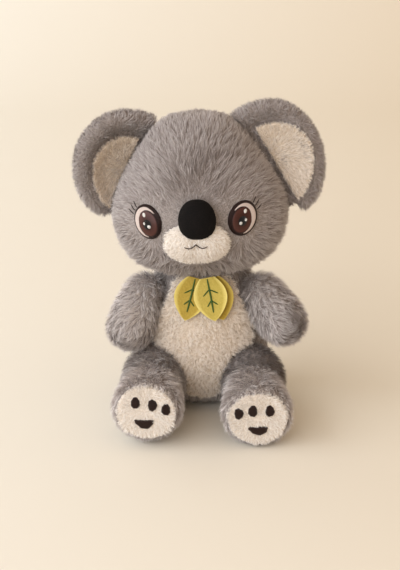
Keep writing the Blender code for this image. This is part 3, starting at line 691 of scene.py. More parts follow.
LONG_PILE = Pile(9.2 * MM, 0.4 * MM, 0.9 * MM, 0.55, 0.85, 0.4, 2.6 * MM, 0.3, 0.1)
EAR_PILE = Pile(5.2 * MM, 0.42 * MM, 0.85 * MM, 1.1, 0.7, 0.15, 1.8 * MM, 0.8, 0.04)
LIMB_PILE = Pile(7.2 * MM, 0.38 * MM, 0.84 * MM, 1.05, 0.65, 0.3, 2.4 * MM, 0.55, 0.06)
BELLY_PILE = Pile(3.6 * MM, 0.4 * MM, 0.66 * MM, 0.8, 0.5, 0.4, 1.5 * MM, 1.1)
LINER_PILE = Pile(4.4 * MM, 0.4 * MM, 0.7 * MM, 0.6, 0.8, 0.3, 2.0 * MM, 0.35)
WHITE_PILE = Pile(3.4 * MM, 0.5 * MM, 0.75 * MM, 0.8, 0.6, 0.4, 1.8 * MM, 0.5)


@dataclass
class Coat:
    """Grows strands on a skin.

    Attributes:
        pile: How the strands stand.
        finish: Their finish.
        seed: Seed of every draw.
        comb: The way that the pile is combed, at each root.
        trim: Share of the usual length, at each root.
        shade: Added darkness at each root, which carries painted shade and light as well as plain changes of
            tone.
        shields: Surfaces that the roots keep clear of.
        clearance: How far they keep clear.
        floor: Lowest height of a strand above the ground.
        root_depth: How far a root sits in the skin.
        length_spread: Shares of the usual length between which the strands vary.
        width_spread: The same for their widths.
        tip_share: Width before the tip, as a share of the root's.
        guard_length_share: Length of a guard hair, as a share of a strand's.
        guard_tone: How much lighter a guard hair is.
        wander_length: Wavelength of the comb's wander.
        tone_length: Wavelength of the slow change of tone.
    """

    pile: Pile
    finish: PileFinish
    seed: int
    comb: Rule
    trim: Rule | None = None
    shade: Rule | None = None
    shields: Sequence[BVHTree] = ()
    clearance: float = 1.2 * MM
    floor: float = 0.4 * MM
    root_depth: float = 0.3 * MM
    length_spread: tuple[float, float] = (0.72, 1.15)
    width_spread: tuple[float, float] = (0.7, 1.25)
    tip_share: float = 0.62
    guard_length_share: float = 1.25
    guard_tone: float = 0.5
    wander_length: float = 16 * MM
    tone_length: float = 38 * MM

    def roots(self, skin: Skin, rng: np.random.Generator) -> tuple[Array, Array]:
        """Evenly spread places on the skin, with the surface's normal at each."""
        corners = skin.points[skin.triangles]
        doubled = np.cross(corners[:, 1] - corners[:, 0], corners[:, 2] - corners[:, 0])
        areas = np.linalg.norm(doubled, axis=1) / 2
        spacing = self.pile.spacing * 1.0
        count = int(areas.sum() / spacing**2)
        picks = (np.arange(count) + rng.random(count)) / count * areas.sum()
        faces = np.minimum(np.searchsorted(np.cumsum(areas), picks), len(areas) - 1)
        shares = rng.random((count, 2))
        folded = shares.sum(axis=1) > 1
        shares[folded] = 1 - shares[folded]
        weights = np.column_stack([1 - shares.sum(axis=1), shares])[:, :, None]
        places = (corners[faces] * weights).sum(axis=1)
        normals = unit((skin.normals[skin.triangles[faces]] * weights).sum(axis=1))
        keep = clear_of(places, self.shields, self.clearance) & (places[:, 2] > self.floor)
        return places[keep], normals[keep]

    def locks(self, roots: Array, rng: np.random.Generator) -> Array:
        """For each root, the number of the root at the middle of its lock."""
        share = (self.pile.spacing / self.pile.lock_width) ** 2
        middles = rng.permutation(len(roots))[: max(1, int(len(roots) * share))]
        tree = KDTree(len(middles))
        for i, middle in enumerate(middles):
            tree.insert(roots[middle], i)
        tree.balance()
        return middles[[tree.find(root)[1] for root in roots]]

    def paths(self, skin: Skin) -> tuple[Array, Array, Array]:
        """The strands' lines, as strand x step x xyz, with the normals and the tones, painted shade and light
        included.
        """
        rng = np.random.default_rng(self.seed)
        roots, normals = self.roots(skin, rng)
        pile = self.pile
        count = len(roots)
        middle = self.locks(roots, rng)
        flow = along_surface(self.comb(roots, normals), normals)
        own_angle = rng.normal(size=count)
        wander = drift(roots, self.wander_length, self.seed) * 0.6 + own_angle[middle] * 0.6 + own_angle * 0.35
        angle = pile.stray * wander
        across = np.cross(normals, flow)
        flow = flow * np.cos(angle)[:, None] + across * np.sin(angle)[:, None]
        lengths = pile.length * rng.uniform(*self.length_spread, count)
        if self.trim:
            lengths *= self.trim(roots, normals)
        guard = rng.random(count) < pile.guard_share
        lengths[guard] *= self.guard_length_share
        lift = np.clip(pile.lift + 0.16 * rng.normal(size=count), 0.1, 1.4)[:, None]
        lines = np.empty((count, pile.steps + 1, 3))
        lines[:, 0] = roots - normals * self.root_depth
        for step in range(pile.steps):
            share = (step + 0.5) / pile.steps
            heading = unit(normals * lift * (1 - pile.settle * share) + flow)
            lines[:, step + 1] = lines[:, step] + heading * (lengths / pile.steps)[:, None]
        for step in range(1, pile.steps + 1):
            lines[:, step] += (lines[middle, step] - lines[:, step]) * pile.lock * step / pile.steps
        lines[:, :, 2] = np.maximum(lines[:, :, 2], self.floor)
        tones_and_shade = 0.3 + 0.1 * own_angle[middle] + 0.16 * rng.normal(size=count)
        tones_and_shade += 0.07 * drift(roots, self.tone_length, self.seed + 2)
        tones_and_shade[guard] -= self.guard_tone
        # Painted shade and light from the coat's shade rule go into the tones.
        if self.shade:
            tones_and_shade += self.shade(roots, normals)
        return lines, normals, np.clip(tones_and_shade, 0.0, 0.99)

    def grow(self, name: str, skin: Skin, body: str, most: int = 60000) -> None:
        """Makes the strands as one or more pieces.

        Args:
            name: The first piece's name.
            skin: The skin that carries them.
            body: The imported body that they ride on.
            most: Most strands in a piece.
        """
        lines, normals, tones_and_shade = self.paths(skin)
        parts = max(1, math.ceil(len(lines) / most))
        order = np.argsort(lines[:, 0, 1], kind="stable")
        for number, chosen in enumerate(np.array_split(order, parts)):
            label = name if parts == 1 else f"{name}_{number + 1}"
            mesh = self.ribbons(label, lines[chosen], normals[chosen], tones_and_shade[chosen])
            dress(new_object(label, mesh), self.finish, body)
        log.info("%s has %d strands", name, len(lines))

    def ribbons(self, name: str, lines: Array, normals: Array, tones_and_shade: Array) -> bpy.types.Mesh:
        """A mesh of tapering ribbons along the lines."""
        rng = np.random.default_rng(self.seed + 1)
        count, levels, _ = lines.shape
        steps = levels - 1
        ahead = unit(np.diff(lines, axis=1))
        side = unit(np.cross(ahead, normals[:, None, :]))
        roll = rng.normal(0, 0.45, count)[:, None, None]
        side = unit(side * np.cos(roll) + np.cross(side, ahead) * np.sin(roll))
        widths = self.pile.width * rng.uniform(*self.width_spread, count)[:, None, None]
        taper = np.linspace(1.0, self.tip_share, steps)[None, :, None]
        half = side * widths * taper / 2
        verts = np.empty((count, 2 * steps + 1, 3))
        verts[:, 0 : 2 * steps : 2] = lines[:, :-1] - half
        verts[:, 1 : 2 * steps : 2] = lines[:, :-1] + half
        verts[:, -1] = lines[:, -1]
        verts[:, :, 2] = np.maximum(verts[:, :, 2], self.floor / 2)
        quads = [(2 * k, 2 * k + 1, 2 * k + 3, 2 * k + 2) for k in range(steps - 1)]
        loop = [i for quad in quads for i in quad] + [2 * steps - 2, 2 * steps - 1, 2 * steps]
        sizes = [4] * (steps - 1) + [3]
        base = (np.arange(count) * (2 * steps + 1))[:, None]
        loops = (np.array(loop)[None, :] + base).ravel()
        starts = np.concatenate([[0], np.cumsum(sizes)[:-1]])
        starts = (starts[None, :] + (np.arange(count) * len(loop))[:, None]).ravel()
        mesh = bpy.data.meshes.new(name)
        mesh.vertices.add(verts.shape[0] * verts.shape[1])
        mesh.vertices.foreach_set("co", verts.astype(np.float32).ravel())
        mesh.loops.add(len(loops))
        mesh.loops.foreach_set("vertex_index", loops.astype(np.int32))
        mesh.polygons.add(len(starts))
        mesh.polygons.foreach_set("loop_start", starts.astype(np.int32))
        mesh.update(calc_edges=True)
        mesh.polygons.foreach_set("use_smooth", np.ones(len(starts), bool))
        up = np.array([i // 2 / steps for i in range(2 * steps)] + [1.0])
        over = np.array([0.0, 1.0] * steps + [0.5]) * 0.008
        coords = np.empty((count, len(loop), 2))
        coords[:, :, 0] = tones_and_shade[:, None] + over[loop][None, :]
        coords[:, :, 1] = 0.02 + 0.96 * up[loop][None, :]
        layer = mesh.uv_layers.new(name=PILE_MAP)
        layer.data.foreach_set("uv", coords.astype(np.float32).ravel())
        return mesh


def oval(width: float, height: float, squareness: float = 2.0) -> Outline:
    """The outline of an oval, squarer with a higher squareness."""

    def outline(angle: float) -> tuple[float, float]:
        """The rim's place at an angle."""
        c = math.cos(angle)
        s = math.sin(angle)
        reach = (abs(c) ** squareness + abs(s) ** squareness) ** (-1 / squareness)
        return width / 2 * reach * c, height / 2 * reach * s

    return outline


def ragged(outline: Outline, phase: float, share: float = 0.055) -> Outline:
    """An outline with an uneven edge, as pile makes it.

    Args:
        outline: The even outline.
        phase: Where the unevenness starts.
        share: How much the edge wanders, as a share of the reach.

    Returns:
        The uneven outline.
    """

    def uneven(angle: float) -> tuple[float, float]:
        """The place at that angle."""
        x, z = outline(angle)
        wander = math.sin(3 * angle + phase * 900) + 0.7 * math.sin(8 * angle + phase * 2300)
        return x * (1 + share * wander), z * (1 + share * wander)

    return uneven


@dataclass(frozen=True)
class Patch:
    """An embroidered patch, laid on a form along the patch's own +Y."""

    outline: Outline
    lift: float
    thickness: float
    dome: float = 0.0
    segments: int = 48
    rings: int = 8

    def mesh(self, name: str, place: Matrix, ground: BVHTree) -> bpy.types.Mesh:
        """A closed patch that follows the ground.

        Args:
            name: The mesh's name.
            place: The patch's frame, in front of the ground.
            ground: The surface that it lies on.

        Returns:
            The mesh, with its places across and up in a UV map.
        """
        into = (place.to_3x3() @ Vector((0, 1, 0))).normalized()
        flat = [(0.0, 0.0, 0.0)]
        for ring in range(1, self.rings + 1):
            share = ring / self.rings
            for segment in range(self.segments):
                x, z = self.outline(2 * math.pi * segment / self.segments)
                flat.append((x * share, z * share, share))
        tops = []
        feet = []
        for x, z, share in flat:
            start = place @ Vector((x, 0, z))
            hit, normal, _, _ = ground.ray_cast(start, into)
            hit = hit or start
            normal = normal or -into
            rise = self.lift + self.dome * (1 - share**2)
            edge = min(1.0, (1 - share) * self.rings / 1.5 + 0.35)
            tops.append(hit + normal * (rise - self.thickness * (1 - edge)))
            feet.append(hit + normal * (rise - self.thickness))
        count = len(flat)
        verts = tops + feet
        faces = []
        for segment in range(self.segments):
            after = (segment + 1) % self.segments
            faces.append((0, 1 + segment, 1 + after))
            faces.append((count, count + 1 + after, count + 1 + segment))
            for ring in range(self.rings - 1):
                low = 1 + ring * self.segments
                high = low + self.segments
                quad = (low + segment, high + segment, high + after, low + after)
                faces.append(quad)
                faces.append(tuple(count + i for i in reversed(quad)))
            rim = 1 + (self.rings - 1) * self.segments
            faces.append((rim + segment, count + rim + segment, count + rim + after, rim + after))
        mesh = bpy.data.meshes.new(name)
        mesh.from_pydata([tuple(v) for v in verts], [], faces)
        mesh.polygons.foreach_set("use_smooth", [True] * len(faces))
        wide = max(abs(x) for x, _, _ in flat)
        high_reach = max(abs(z) for _, z, _ in flat)
        layer = mesh.uv_layers.new(name=PATCH_MAP)
        for loop in mesh.loops:
            x, z, _ = flat[loop.vertex_index % count]
            layer.data[loop.index].uv = (0.5 + x / wide / 2, 0.5 + z / high_reach / 2)
        mesh.update()
        return mesh


def stitched_line(name: str, points: Sequence[Vector], radius: float, ends: float = 0.55) -> bpy.types.Object:
    """A padded line of stitches through the points, thinner at its ends."""
    curve = bpy.data.curves.new(name, "CURVE")
    curve.dimensions = "3D"
    curve.bevel_depth = radius
    curve.bevel_resolution = 3
    curve.use_fill_caps = True
    line = curve.splines.new("POLY")
    line.points.add(len(points) - 1)
    for i, (spot, point) in enumerate(zip(line.points, points)):
        share = i / (len(points) - 1)
        spot.co = (*point, 1)
        spot.radius = ends + (1 - ends) * math.sin(math.pi * share) ** 0.5
    return new_object(name, curve)


# Sub-assemblies


@dataclass
class Face:
    """Where the features sit on the head, in the head's own frame."""

    neck: float = 112 * MM
    turn: float = math.radians(-3.5)
    pitch: float = math.radians(-7)
    roll: float = math.radians(-3.5)
    eye_spread: float = 34.2 * MM
    eyes_across: float = -0.6 * MM
    eye_height: float = 41 * MM
    nose_across: float = 1.8 * MM
    nose_height: float = 45.3 * MM
    muzzle_height: float = 25.8 * MM
    mouth_height: float = 26.2 * MM
    mouth_half: float = 8.2 * MM
    mouth_dip: float = 2.8 * MM

    def frame(self) -> Matrix:
        """The head's frame in the row."""
        turned = Matrix.Rotation(self.turn, 4, "Z") @ Matrix.Rotation(self.pitch, 4, "X")
        return Matrix.Translation((0, 0, self.neck)) @ turned @ Matrix.Rotation(self.roll, 4, "Y")

    def to_head(self, points: Array) -> Array:
        """Row places in the head's frame."""
        inverse = np.array(self.frame().inverted())
        return points @ inverse[:3, :3].T + inverse[:3, 3]

    def eye_centre(self, side: Side) -> tuple[float, float, float]:
        """The middle of an eye, in the head's frame."""
        return (self.eyes_across + side.sign * self.eye_spread, -54 * MM, self.eye_height)

    def comb(self, points: Array, normals: Array) -> Array:
        """Pile spreads from the nose, hangs at the back and lies away from the eyes."""
        local = self.to_head(points)
        nose = np.array([self.nose_across, -62 * MM, self.nose_height])
        flow = unit(local - nose)
        behind = ramp(local[:, 1:2], -12 * MM, 30 * MM)
        flow = flow * (1 - 0.6 * behind) + np.array([0.0, 0.0, -1.0]) * behind
        muzzle = np.array([0.0, -58 * MM, self.muzzle_height])
        flow += unit(local - muzzle) * near(local, muzzle, 28 * MM)
        chin = np.array([0.0, -58 * MM, self.muzzle_height - 20 * MM])
        flow += np.array([0.0, 0.0, 3.4]) * near(local, chin, 14 * MM)
        for side in Side:
            eye = self.eye_centre(side)
            flow += unit(local - np.array(eye)) * near(local, eye, 15 * MM) * 2.2
            cheek = (side.sign * 25 * MM, -54 * MM, self.muzzle_height - 3 * MM)
            flow += np.array([-2.6 * side.sign, 0.0, 0.0]) * near(local, cheek, 8 * MM)
        turn = np.array(self.frame())[:3, :3]
        return flow @ turn.T

    def trim(self, points: Array, normals: Array) -> Array:
        """Shorter pile about the eyes, the nose and the muzzle."""
        local = self.to_head(points)
        share = np.ones(len(points))
        for side in Side:
            gap = np.linalg.norm(local - np.array(self.eye_centre(side)), axis=1)
            share *= np.clip((gap - 9 * MM) / (16 * MM), 0.34, 1.0)
        for across, height, reach in (
            (self.nose_across, self.nose_height, 10 * MM),
            (0.0, self.muzzle_height, 16 * MM),
        ):
            gap = np.linalg.norm(local - np.array([across, -60 * MM, height]), axis=1)
            share *= np.clip((gap - reach) / (16 * MM), 0.45, 1.0)
        jowl = ramp(local[:, 2], 34 * MM, -16 * MM)
        top = ramp(local[:, 2], 92 * MM, 14 * MM)
        side = ramp(np.abs(local[:, 0]), 0.0, 34 * MM) ** 2
        chin = near(local, (1 * MM, -60 * MM, self.muzzle_height - 13 * MM), 8 * MM)[:, 0]
        return share * (1 + 0.3 * jowl) * (1 - 0.5 * top * side) + 0.5 * chin

    def shade(self, points: Array, normals: Array) -> Array:
        """Painted shade between the eyes, where the parted pile lies in shadow, and under the jaw."""
        local = self.to_head(points)
        bridge_shadow = near(local, (self.nose_across, -56 * MM, self.nose_height + 28 * MM), 22 * MM)[:, 0]
        jaw_shadow = ramp(local[:, 2], 24 * MM, -16 * MM)
        return 0.42 * bridge_shadow + 0.15 * jaw_shadow - 0.04


@dataclass
class Head:
    """The head, with its muzzle, nose, mouth and eyes."""

    face: Face
    sink: float = 0.9 * MM
    probe: float = 300 * MM
    eye_width: float = 19.5 * MM
    eye_length: float = 25 * MM
    eye_lean: float = math.radians(14)

    def build(self) -> None:
        """Makes every piece on the head."""
        self.skin = padded_skin("head_skin", "head", GREY_BACK, "head", 0.8, 2.0 * MM, self.sink)
        self.ground = self.skin.tree()
        self.make_muzzle()
        self.make_nose()
        for side in Side:
            self.make_eye(side)
        shields = node_trees("muzzle", "nose", "torso")
        for side in Side:
            shields += node_trees(f"eye_rim_{side.value}", f"ear_{side.value}")
        face = self.face
        coat = Coat(LONG_PILE, GREY_COAT, 11, face.comb, face.trim, face.shade, shields, 1.0 * MM)
        coat.grow("head_pile", self.skin, "head")

    def make_muzzle(self) -> None:
        """The white pad with its short pile, and the mouth on it."""
        pad = padded_skin("muzzle_skin", "muzzle", WHITE_BACK, "head", 0.7, 1.0 * MM, 0.5 * MM, 4)
        self.make_mouth(pad.tree())
        centre = self.face.frame() @ Vector((0, -66 * MM, self.face.muzzle_height + 12 * MM))

        def comb(points: Array, normals: Array) -> Array:
            """Pile runs away from the foot of the nose."""
            return points - np.array(centre)

        def shade(points: Array, normals: Array) -> Array:
            """Painted shade under the mouth."""
            local = self.face.to_head(points)
            return 0.7 * ramp(local[:, 2], self.face.mouth_height + 3 * MM, -12 * MM) - 0.15

        shields = [node_tree("nose"), self.mouth_tree]
        coat = Coat(WHITE_PILE, WHITE_COAT, 21, comb, None, shade, shields, 0.6 * MM)
        coat.grow("muzzle_pile", pad, "head")

    def make_mouth(self, ground: BVHTree) -> None:
        """Two shallow curves of dark thread that meet under the nose."""
        face = self.face
        place = face.frame()
        into = place.to_3x3() @ Vector((0, 1, 0))
        points = []
        steps = 32
        for i in range(steps + 1):
            across = 2 * i / steps - 1
            sag = face.mouth_dip * math.sin(abs(across) * math.radians(144))
            start = place @ Vector((across * face.mouth_half, -self.probe, face.mouth_height - sag))
            hit, normal, _, _ = ground.ray_cast(start, into)
            points.append(hit + normal * 1.5 * MM)
        mouth = stitched_line("mouth", points, 0.4 * MM)
        dress(mouth, DARK_THREAD, "head", ["mouth_thread"])
        self.mouth_tree = node_tree("mouth_thread")

    def make_nose(self) -> None:
        """The padded black nose, full at its top and widest below its middle."""
        nose = make_skin("nose_pad", "nose", 0.8 * MM, 0.0, 5)
        frame_in = self.face.frame()
        inverse = frame_in.inverted()
        low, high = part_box("nose")
        half = (high.z - low.z) / 2
        for vert in nose.obj.data.vertices:
            local = inverse @ vert.co
            level = min(0.96, max(-0.96, (local.z - self.face.nose_height) / half))
            fuller = (1 - abs(level) ** 2.5) ** 0.4 / math.sqrt(1 - level**2)
            rise = max(0.0, level)
            across = (local.x - self.face.nose_across) * fuller * (1 + 0.06 * rise)
            local.x = self.face.nose_across + across
            local.z -= 0.8 * MM + 1.2 * MM * rise
            vert.co = frame_in @ local
        dress(nose.obj, NOSE_FABRIC, "head", ["nose"])

    def make_eye(self, side: Side) -> None:
        """An eye of stitched layers: dark rim, cream crescent, brown iris, dark pupil and three lights."""
        face = self.face
        out = side.sign
        lean = Matrix.Rotation(out * self.eye_lean, 4, "Y")
        middle = Matrix.Translation((face.eyes_across + out * face.eye_spread, -self.probe, face.eye_height))
        place = face.frame() @ middle @ lean
        wide = self.eye_width
        high = self.eye_length
        # Name, outline, shares away and up from the middle, lift, thickness and dome in mm, finish
        layers = [
            ("rim", oval(wide * 1.04, high * 1.03), 0.0, 0.0, 2.3, 2.2, 0.5, RIM_THREAD),
            ("crescent", oval(wide * 0.91, high * 0.93), 0.0, 0.0, 2.6, 0.9, 0.7, WHITE_THREAD),
            ("iris_edge", oval(wide * 0.80, high * 0.85), -0.062, -0.042, 2.8, 0.9, 0.9, RIM_THREAD),
            ("iris", oval(wide * 0.74, high * 0.80), -0.062, -0.042, 3.0, 0.9, 0.9, IRIS_THREAD),
            ("pupil", oval(wide * 0.46, high * 0.46), -0.05, -0.055, 3.2, 0.7, 0.9, PUPIL_THREAD),
            ("light_top", oval(wide * 0.12, high * 0.14), -0.02, 0.21, 3.5, 0.6, 0.8, GLINT_THREAD),
            ("light_middle", oval(wide * 0.09, high * 0.09), 0.05, -0.02, 3.65, 0.6, 1.1, GLINT_THREAD),
            ("light_low", oval(wide * 0.12, high * 0.11), -0.09, -0.12, 3.65, 0.6, 1.0, GLINT_THREAD),
        ]
        nodes = {"rim": "rim", "crescent": "white", "iris": "iris", "pupil": "pupil", "light_top": "glint"}
        for name, outline, away, up, lift, thickness, dome, finish in layers:
            patch = Patch(outline, lift * MM, thickness * MM, dome * MM)
            shift = Matrix.Translation((out * away * wide, 0, up * high))
            label = f"eye_{name}_on_{side.value}"
            mesh = patch.mesh(label, place @ shift, self.ground)
            replaced = [f"eye_{nodes[name]}_{side.value}"] if name in nodes else []
            dress(new_object(label, mesh), finish, "head", replaced)
        self.make_lashes(side, place)

    def make_lashes(self, side: Side, place: Matrix) -> None:
        """Three short lashes past the eye's upper outer edge."""
        out = side.sign
        into = (place.to_3x3() @ Vector((0, 1, 0))).normalized()
        for number, degrees in enumerate((36, 50, 64)):
            points = []
            for i in range(6):
                reach = 0.97 + 0.34 * i / 5
                bend = math.radians(degrees) + 0.10 * i / 5
                x = out * math.cos(bend) * self.eye_width / 2 * reach
                z = math.sin(bend) * self.eye_length / 2 * reach
                hit, normal, _, _ = self.ground.ray_cast(place @ Vector((x, 0, z)), into)
                points.append(hit + normal * (2.6 + 1.2 * i / 5) * MM)
            lash = stitched_line(f"lash_{number + 1}_{side.value}", points, 0.4 * MM, 0.4)
            dress(lash, RIM_THREAD, "head")


@dataclass
class Ear:
    """A padded ear with its cream liner.

    Attributes:
        side: Which ear.
        seed: Seed of its pile.
        draw: How far the upper end of its root is drawn down.
        lean: How far that end leans in to the head.
        liner_painted_shade: Painted shade: how much darker the liner's pile is.
        end_from: Where the drawn end starts, up from the root's middle.
        end_span: How far it takes to be fully drawn.
        end_reach: How far out from the root the draw still shows.
    """

    side: Side
    seed: int
    draw: float
    lean: float
    liner_painted_shade: float
    end_from: float = 20 * MM
    end_span: float = 24 * MM
    end_reach: float = 34 * MM

    def build(self) -> None:
        """Makes the ear, its liner and their pile."""
        name = self.side.value
        body = f"ear_{name}"
        skin = padded_skin(f"ear_skin_{name}", body, GREY_BACK, body, 0.6, 1.8 * MM, 0.8 * MM, 5)
        self.round_root(skin)
        node = f"ear_liner_{name}"
        liner = make_skin(f"liner_skin_{name}", node, 0.9 * MM, 0.0, 2)
        dress(liner.obj, CREAM_BACK, body, [node])
        self.liner_tree = node_tree(node)
        shields = [self.liner_tree, *node_trees("head")]
        rules = (self.rim_comb, self.rim_trim, self.shade)
        coat = Coat(EAR_PILE, GREY_COAT, self.seed, *rules, shields, 0.8 * MM)
        coat.grow(f"ear_pile_{name}", skin, body)
        middle, size = box_of(node)

        def liner_trim(points: Array, normals: Array) -> Array:
            """Short at the edge, where the rim's pile lies over it."""
            reach = np.linalg.norm((points - middle)[:, [0, 2]] / size[[0, 2]] * 2, axis=1)
            return 1 - 0.35 * ramp(reach, 0.8, 0.2)

        def liner_shade(points: Array, normals: Array) -> Array:
            """Painted shade, deeper in the ear that is turned from the light."""
            return np.full(len(points), self.liner_painted_shade)

        seed = self.seed + 1
        shields = node_trees("head")
        inner = Coat(LINER_PILE, CREAM_COAT, seed, self.outward, liner_trim, liner_shade, shields, 1.0 * MM)
        inner.grow(f"liner_pile_{name}", liner, body)

    def round_root(self, skin: Skin) -> None:
        """Leans the upper end of the ear's root down into the head.

        Args:
            skin: The ear's skin, which is changed.
        """
        body = f"ear_{self.side.value}"
        root = self.root()
        axis = unit(np.array(joint_of(body)["axis"]))
        out = box_of(body)[0] - root
        out = unit(out - axis * (out @ axis))
        upward = axis if axis[2] > 0 else -axis
        offset = skin.points - root
        end = ramp(offset @ upward, self.end_from, self.end_span)
        close = ramp(offset @ out, self.end_reach, -self.end_reach)
        share = (end * close)[:, None]
        skin.points -= share * (upward * self.draw + out * self.lean)
        skin.obj.data.vertices.foreach_set("co", skin.points.astype(np.float32).ravel())
        skin.obj.data.update()

    def shade(self, points: Array, normals: Array) -> Array:
        """Painted shade in front, where the rim turns in to the liner."""
        front = np.clip(-normals[:, 1] * 1.5, 0.0, 1.0)
        return 0.45 * front * ramp(gaps_to(self.liner_tree, points), 12 * MM, -12 * MM) - 0.08

    def rim_trim(self, points: Array, normals: Array) -> Array:
        """Longer beside the liner, so that it lies over its edge."""
        return 1 + 0.35 * ramp(gaps_to(self.liner_tree, points), 4.2 * MM, -3.5 * MM)

    def rim_comb(self, points: Array, normals: Array) -> Array:
        """Pile runs outward from the root, but in over the liner within a few millimetres of it."""
        middle, _ = box_of(f"ear_liner_{self.side.value}")
        close = ramp(gaps_to(self.liner_tree, points), 4.9 * MM, -3.5 * MM)[:, None]
        return self.outward(points, normals) * (1 - close) + unit(middle - points) * close

    def outward(self, points: Array, normals: Array) -> Array:
        """Pile runs outward from the ear's root."""
        return unit(points - self.root()) + np.array([0.0, 0.0, -0.15])

    def root(self) -> Array:
        """The middle of the ear's root, where it turns."""
        return np.array(joint_of(f"ear_{self.side.value}")["pos_m"])


@dataclass
class Torso:
    """The torso, its belly panel, seat panel and pellet bag."""

    def build(self) -> None:
        """Makes every piece of the torso."""
        skin = padded_skin("torso_skin", "torso", GREY_BACK, "torso", 0.8, 2.0 * MM, 0.9 * MM)
        limbs = ("arm_left", "arm_right", "leg_left", "leg_right")
        shields = node_trees("belly_panel", "head", *limbs, "seat_panel")

        def comb(points: Array, normals: Array) -> Array:
            """Pile runs down the torso and a little outward."""
            return np.array([0.0, 0.15, -1.0]) + points * np.array([4.0, 4.0, 0.0])

        def trim(points: Array, normals: Array) -> Array:
            """Short beside the belly panel, which it would hide."""
            beside = ramp(points[:, 1], -5 * MM, -10 * MM)
            return 1 - 0.75 * beside * ramp(points[:, 2], 30 * MM, 20 * MM)

        def shade(points: Array, normals: Array) -> Array:
            """Painted shade: darker at the flanks and in front, where the arms and head shade the torso; as
            light as the limbs at the back.
            """
            return 0.25 - 0.3 * ramp(points[:, 1], 0.0, 30 * MM)

        coat = Coat(LONG_PILE, LIMB_COAT_PAINTED_LIGHT, 31, comb, trim, shade, shields, 0.6 * MM)
        coat.grow("torso_pile", skin, "torso")
        self.make_belly(limbs)
        seat = make_skin("seat_knit", "seat_panel", 0.8 * MM, 0.0, 1)
        dress(seat.obj, SEAT_FABRIC, "torso", ["seat_panel"])
        padded_skin("bag_cloth", "pellet_bag", BAG_FABRIC, "torso", 0.3, 1.2 * MM, 0.0, 2)

    def make_belly(self, limbs: Sequence[str]) -> None:
        """The cream belly with its short curled pile, which keeps clear of the limbs."""
        belly = make_skin("belly_skin", "belly_panel", 1.0 * MM, 0.0, 3)
        dress(belly.obj, CREAM_BACK, "torso", ["belly_panel"])
        shields = node_trees(*limbs, "head")

        def comb(points: Array, normals: Array) -> Array:
            """Pile runs down, and out at the sides."""
            return np.array([0.0, 0.0, -1.0]) + points * np.array([22.0, 0.0, 0.0])

        def trim(points: Array, normals: Array) -> Array:
            """Longer toward the sides."""
            return 1 + 0.6 * ramp(np.abs(points[:, 0]), 12 * MM, 20 * MM)

        def shade(points: Array, normals: Array) -> Array:
            """Painted shade, a little darker toward the crotch."""
            return 0.05 * ramp(points[:, 2], 40 * MM, -30 * MM) - 0.2

        coat = Coat(BELLY_PILE, CREAM_COAT, 41, comb, trim, shade, shields, 0.3 * MM)
        coat.grow("belly_pile", belly, "torso")


@dataclass
class Arm:
    """An arm that ends in a round paw.

    Attributes:
        side: Which arm.
        seed: Seed of its pile.
        whorl: Where the pile closes at the paw, on the toy's left.
        whorl_painted_shade: Painted shade: how much darker the pile is there.
    """

    side: Side
    seed: int
    whorl: tuple[float, float, float]
    whorl_painted_shade: float

    def build(self) -> None:
        """Makes the arm and its pile."""
        name = self.side.value
        body = f"arm_{name}"
        skin = padded_skin(f"arm_skin_{name}", body, GREY_BACK, body, 0.7, 1.8 * MM, 0.8 * MM)
        axis = unit(box_of(body)[0] - np.array(joint_of(body)["pos_m"]) + np.array([0.0, 0.0, -12 * MM]))
        whorl = np.array(self.whorl) * (self.side.sign, 1, 1)

        def comb(points: Array, normals: Array) -> Array:
            """Pile runs down the arm and closes in a whorl at the paw."""
            return axis + unit(whorl - points) * near(points, whorl, 22 * MM) * 2.5

        def shade(points: Array, normals: Array) -> Array:
            """Painted shade in the whorl and where the arm lies against the torso."""
            inner = ramp(np.abs(points[:, 0]), 46 * MM, -14 * MM)
            return self.whorl_painted_shade * near(points, whorl, 14 * MM)[:, 0] + 0.2 * inner - 0.2

        shields = node_trees("torso", "head")
        coat = Coat(LIMB_PILE, LIMB_COAT_PAINTED_LIGHT, self.seed, comb, None, shade, shields, 1.0 * MM)
        coat.grow(f"arm_pile_{name}", skin, body)


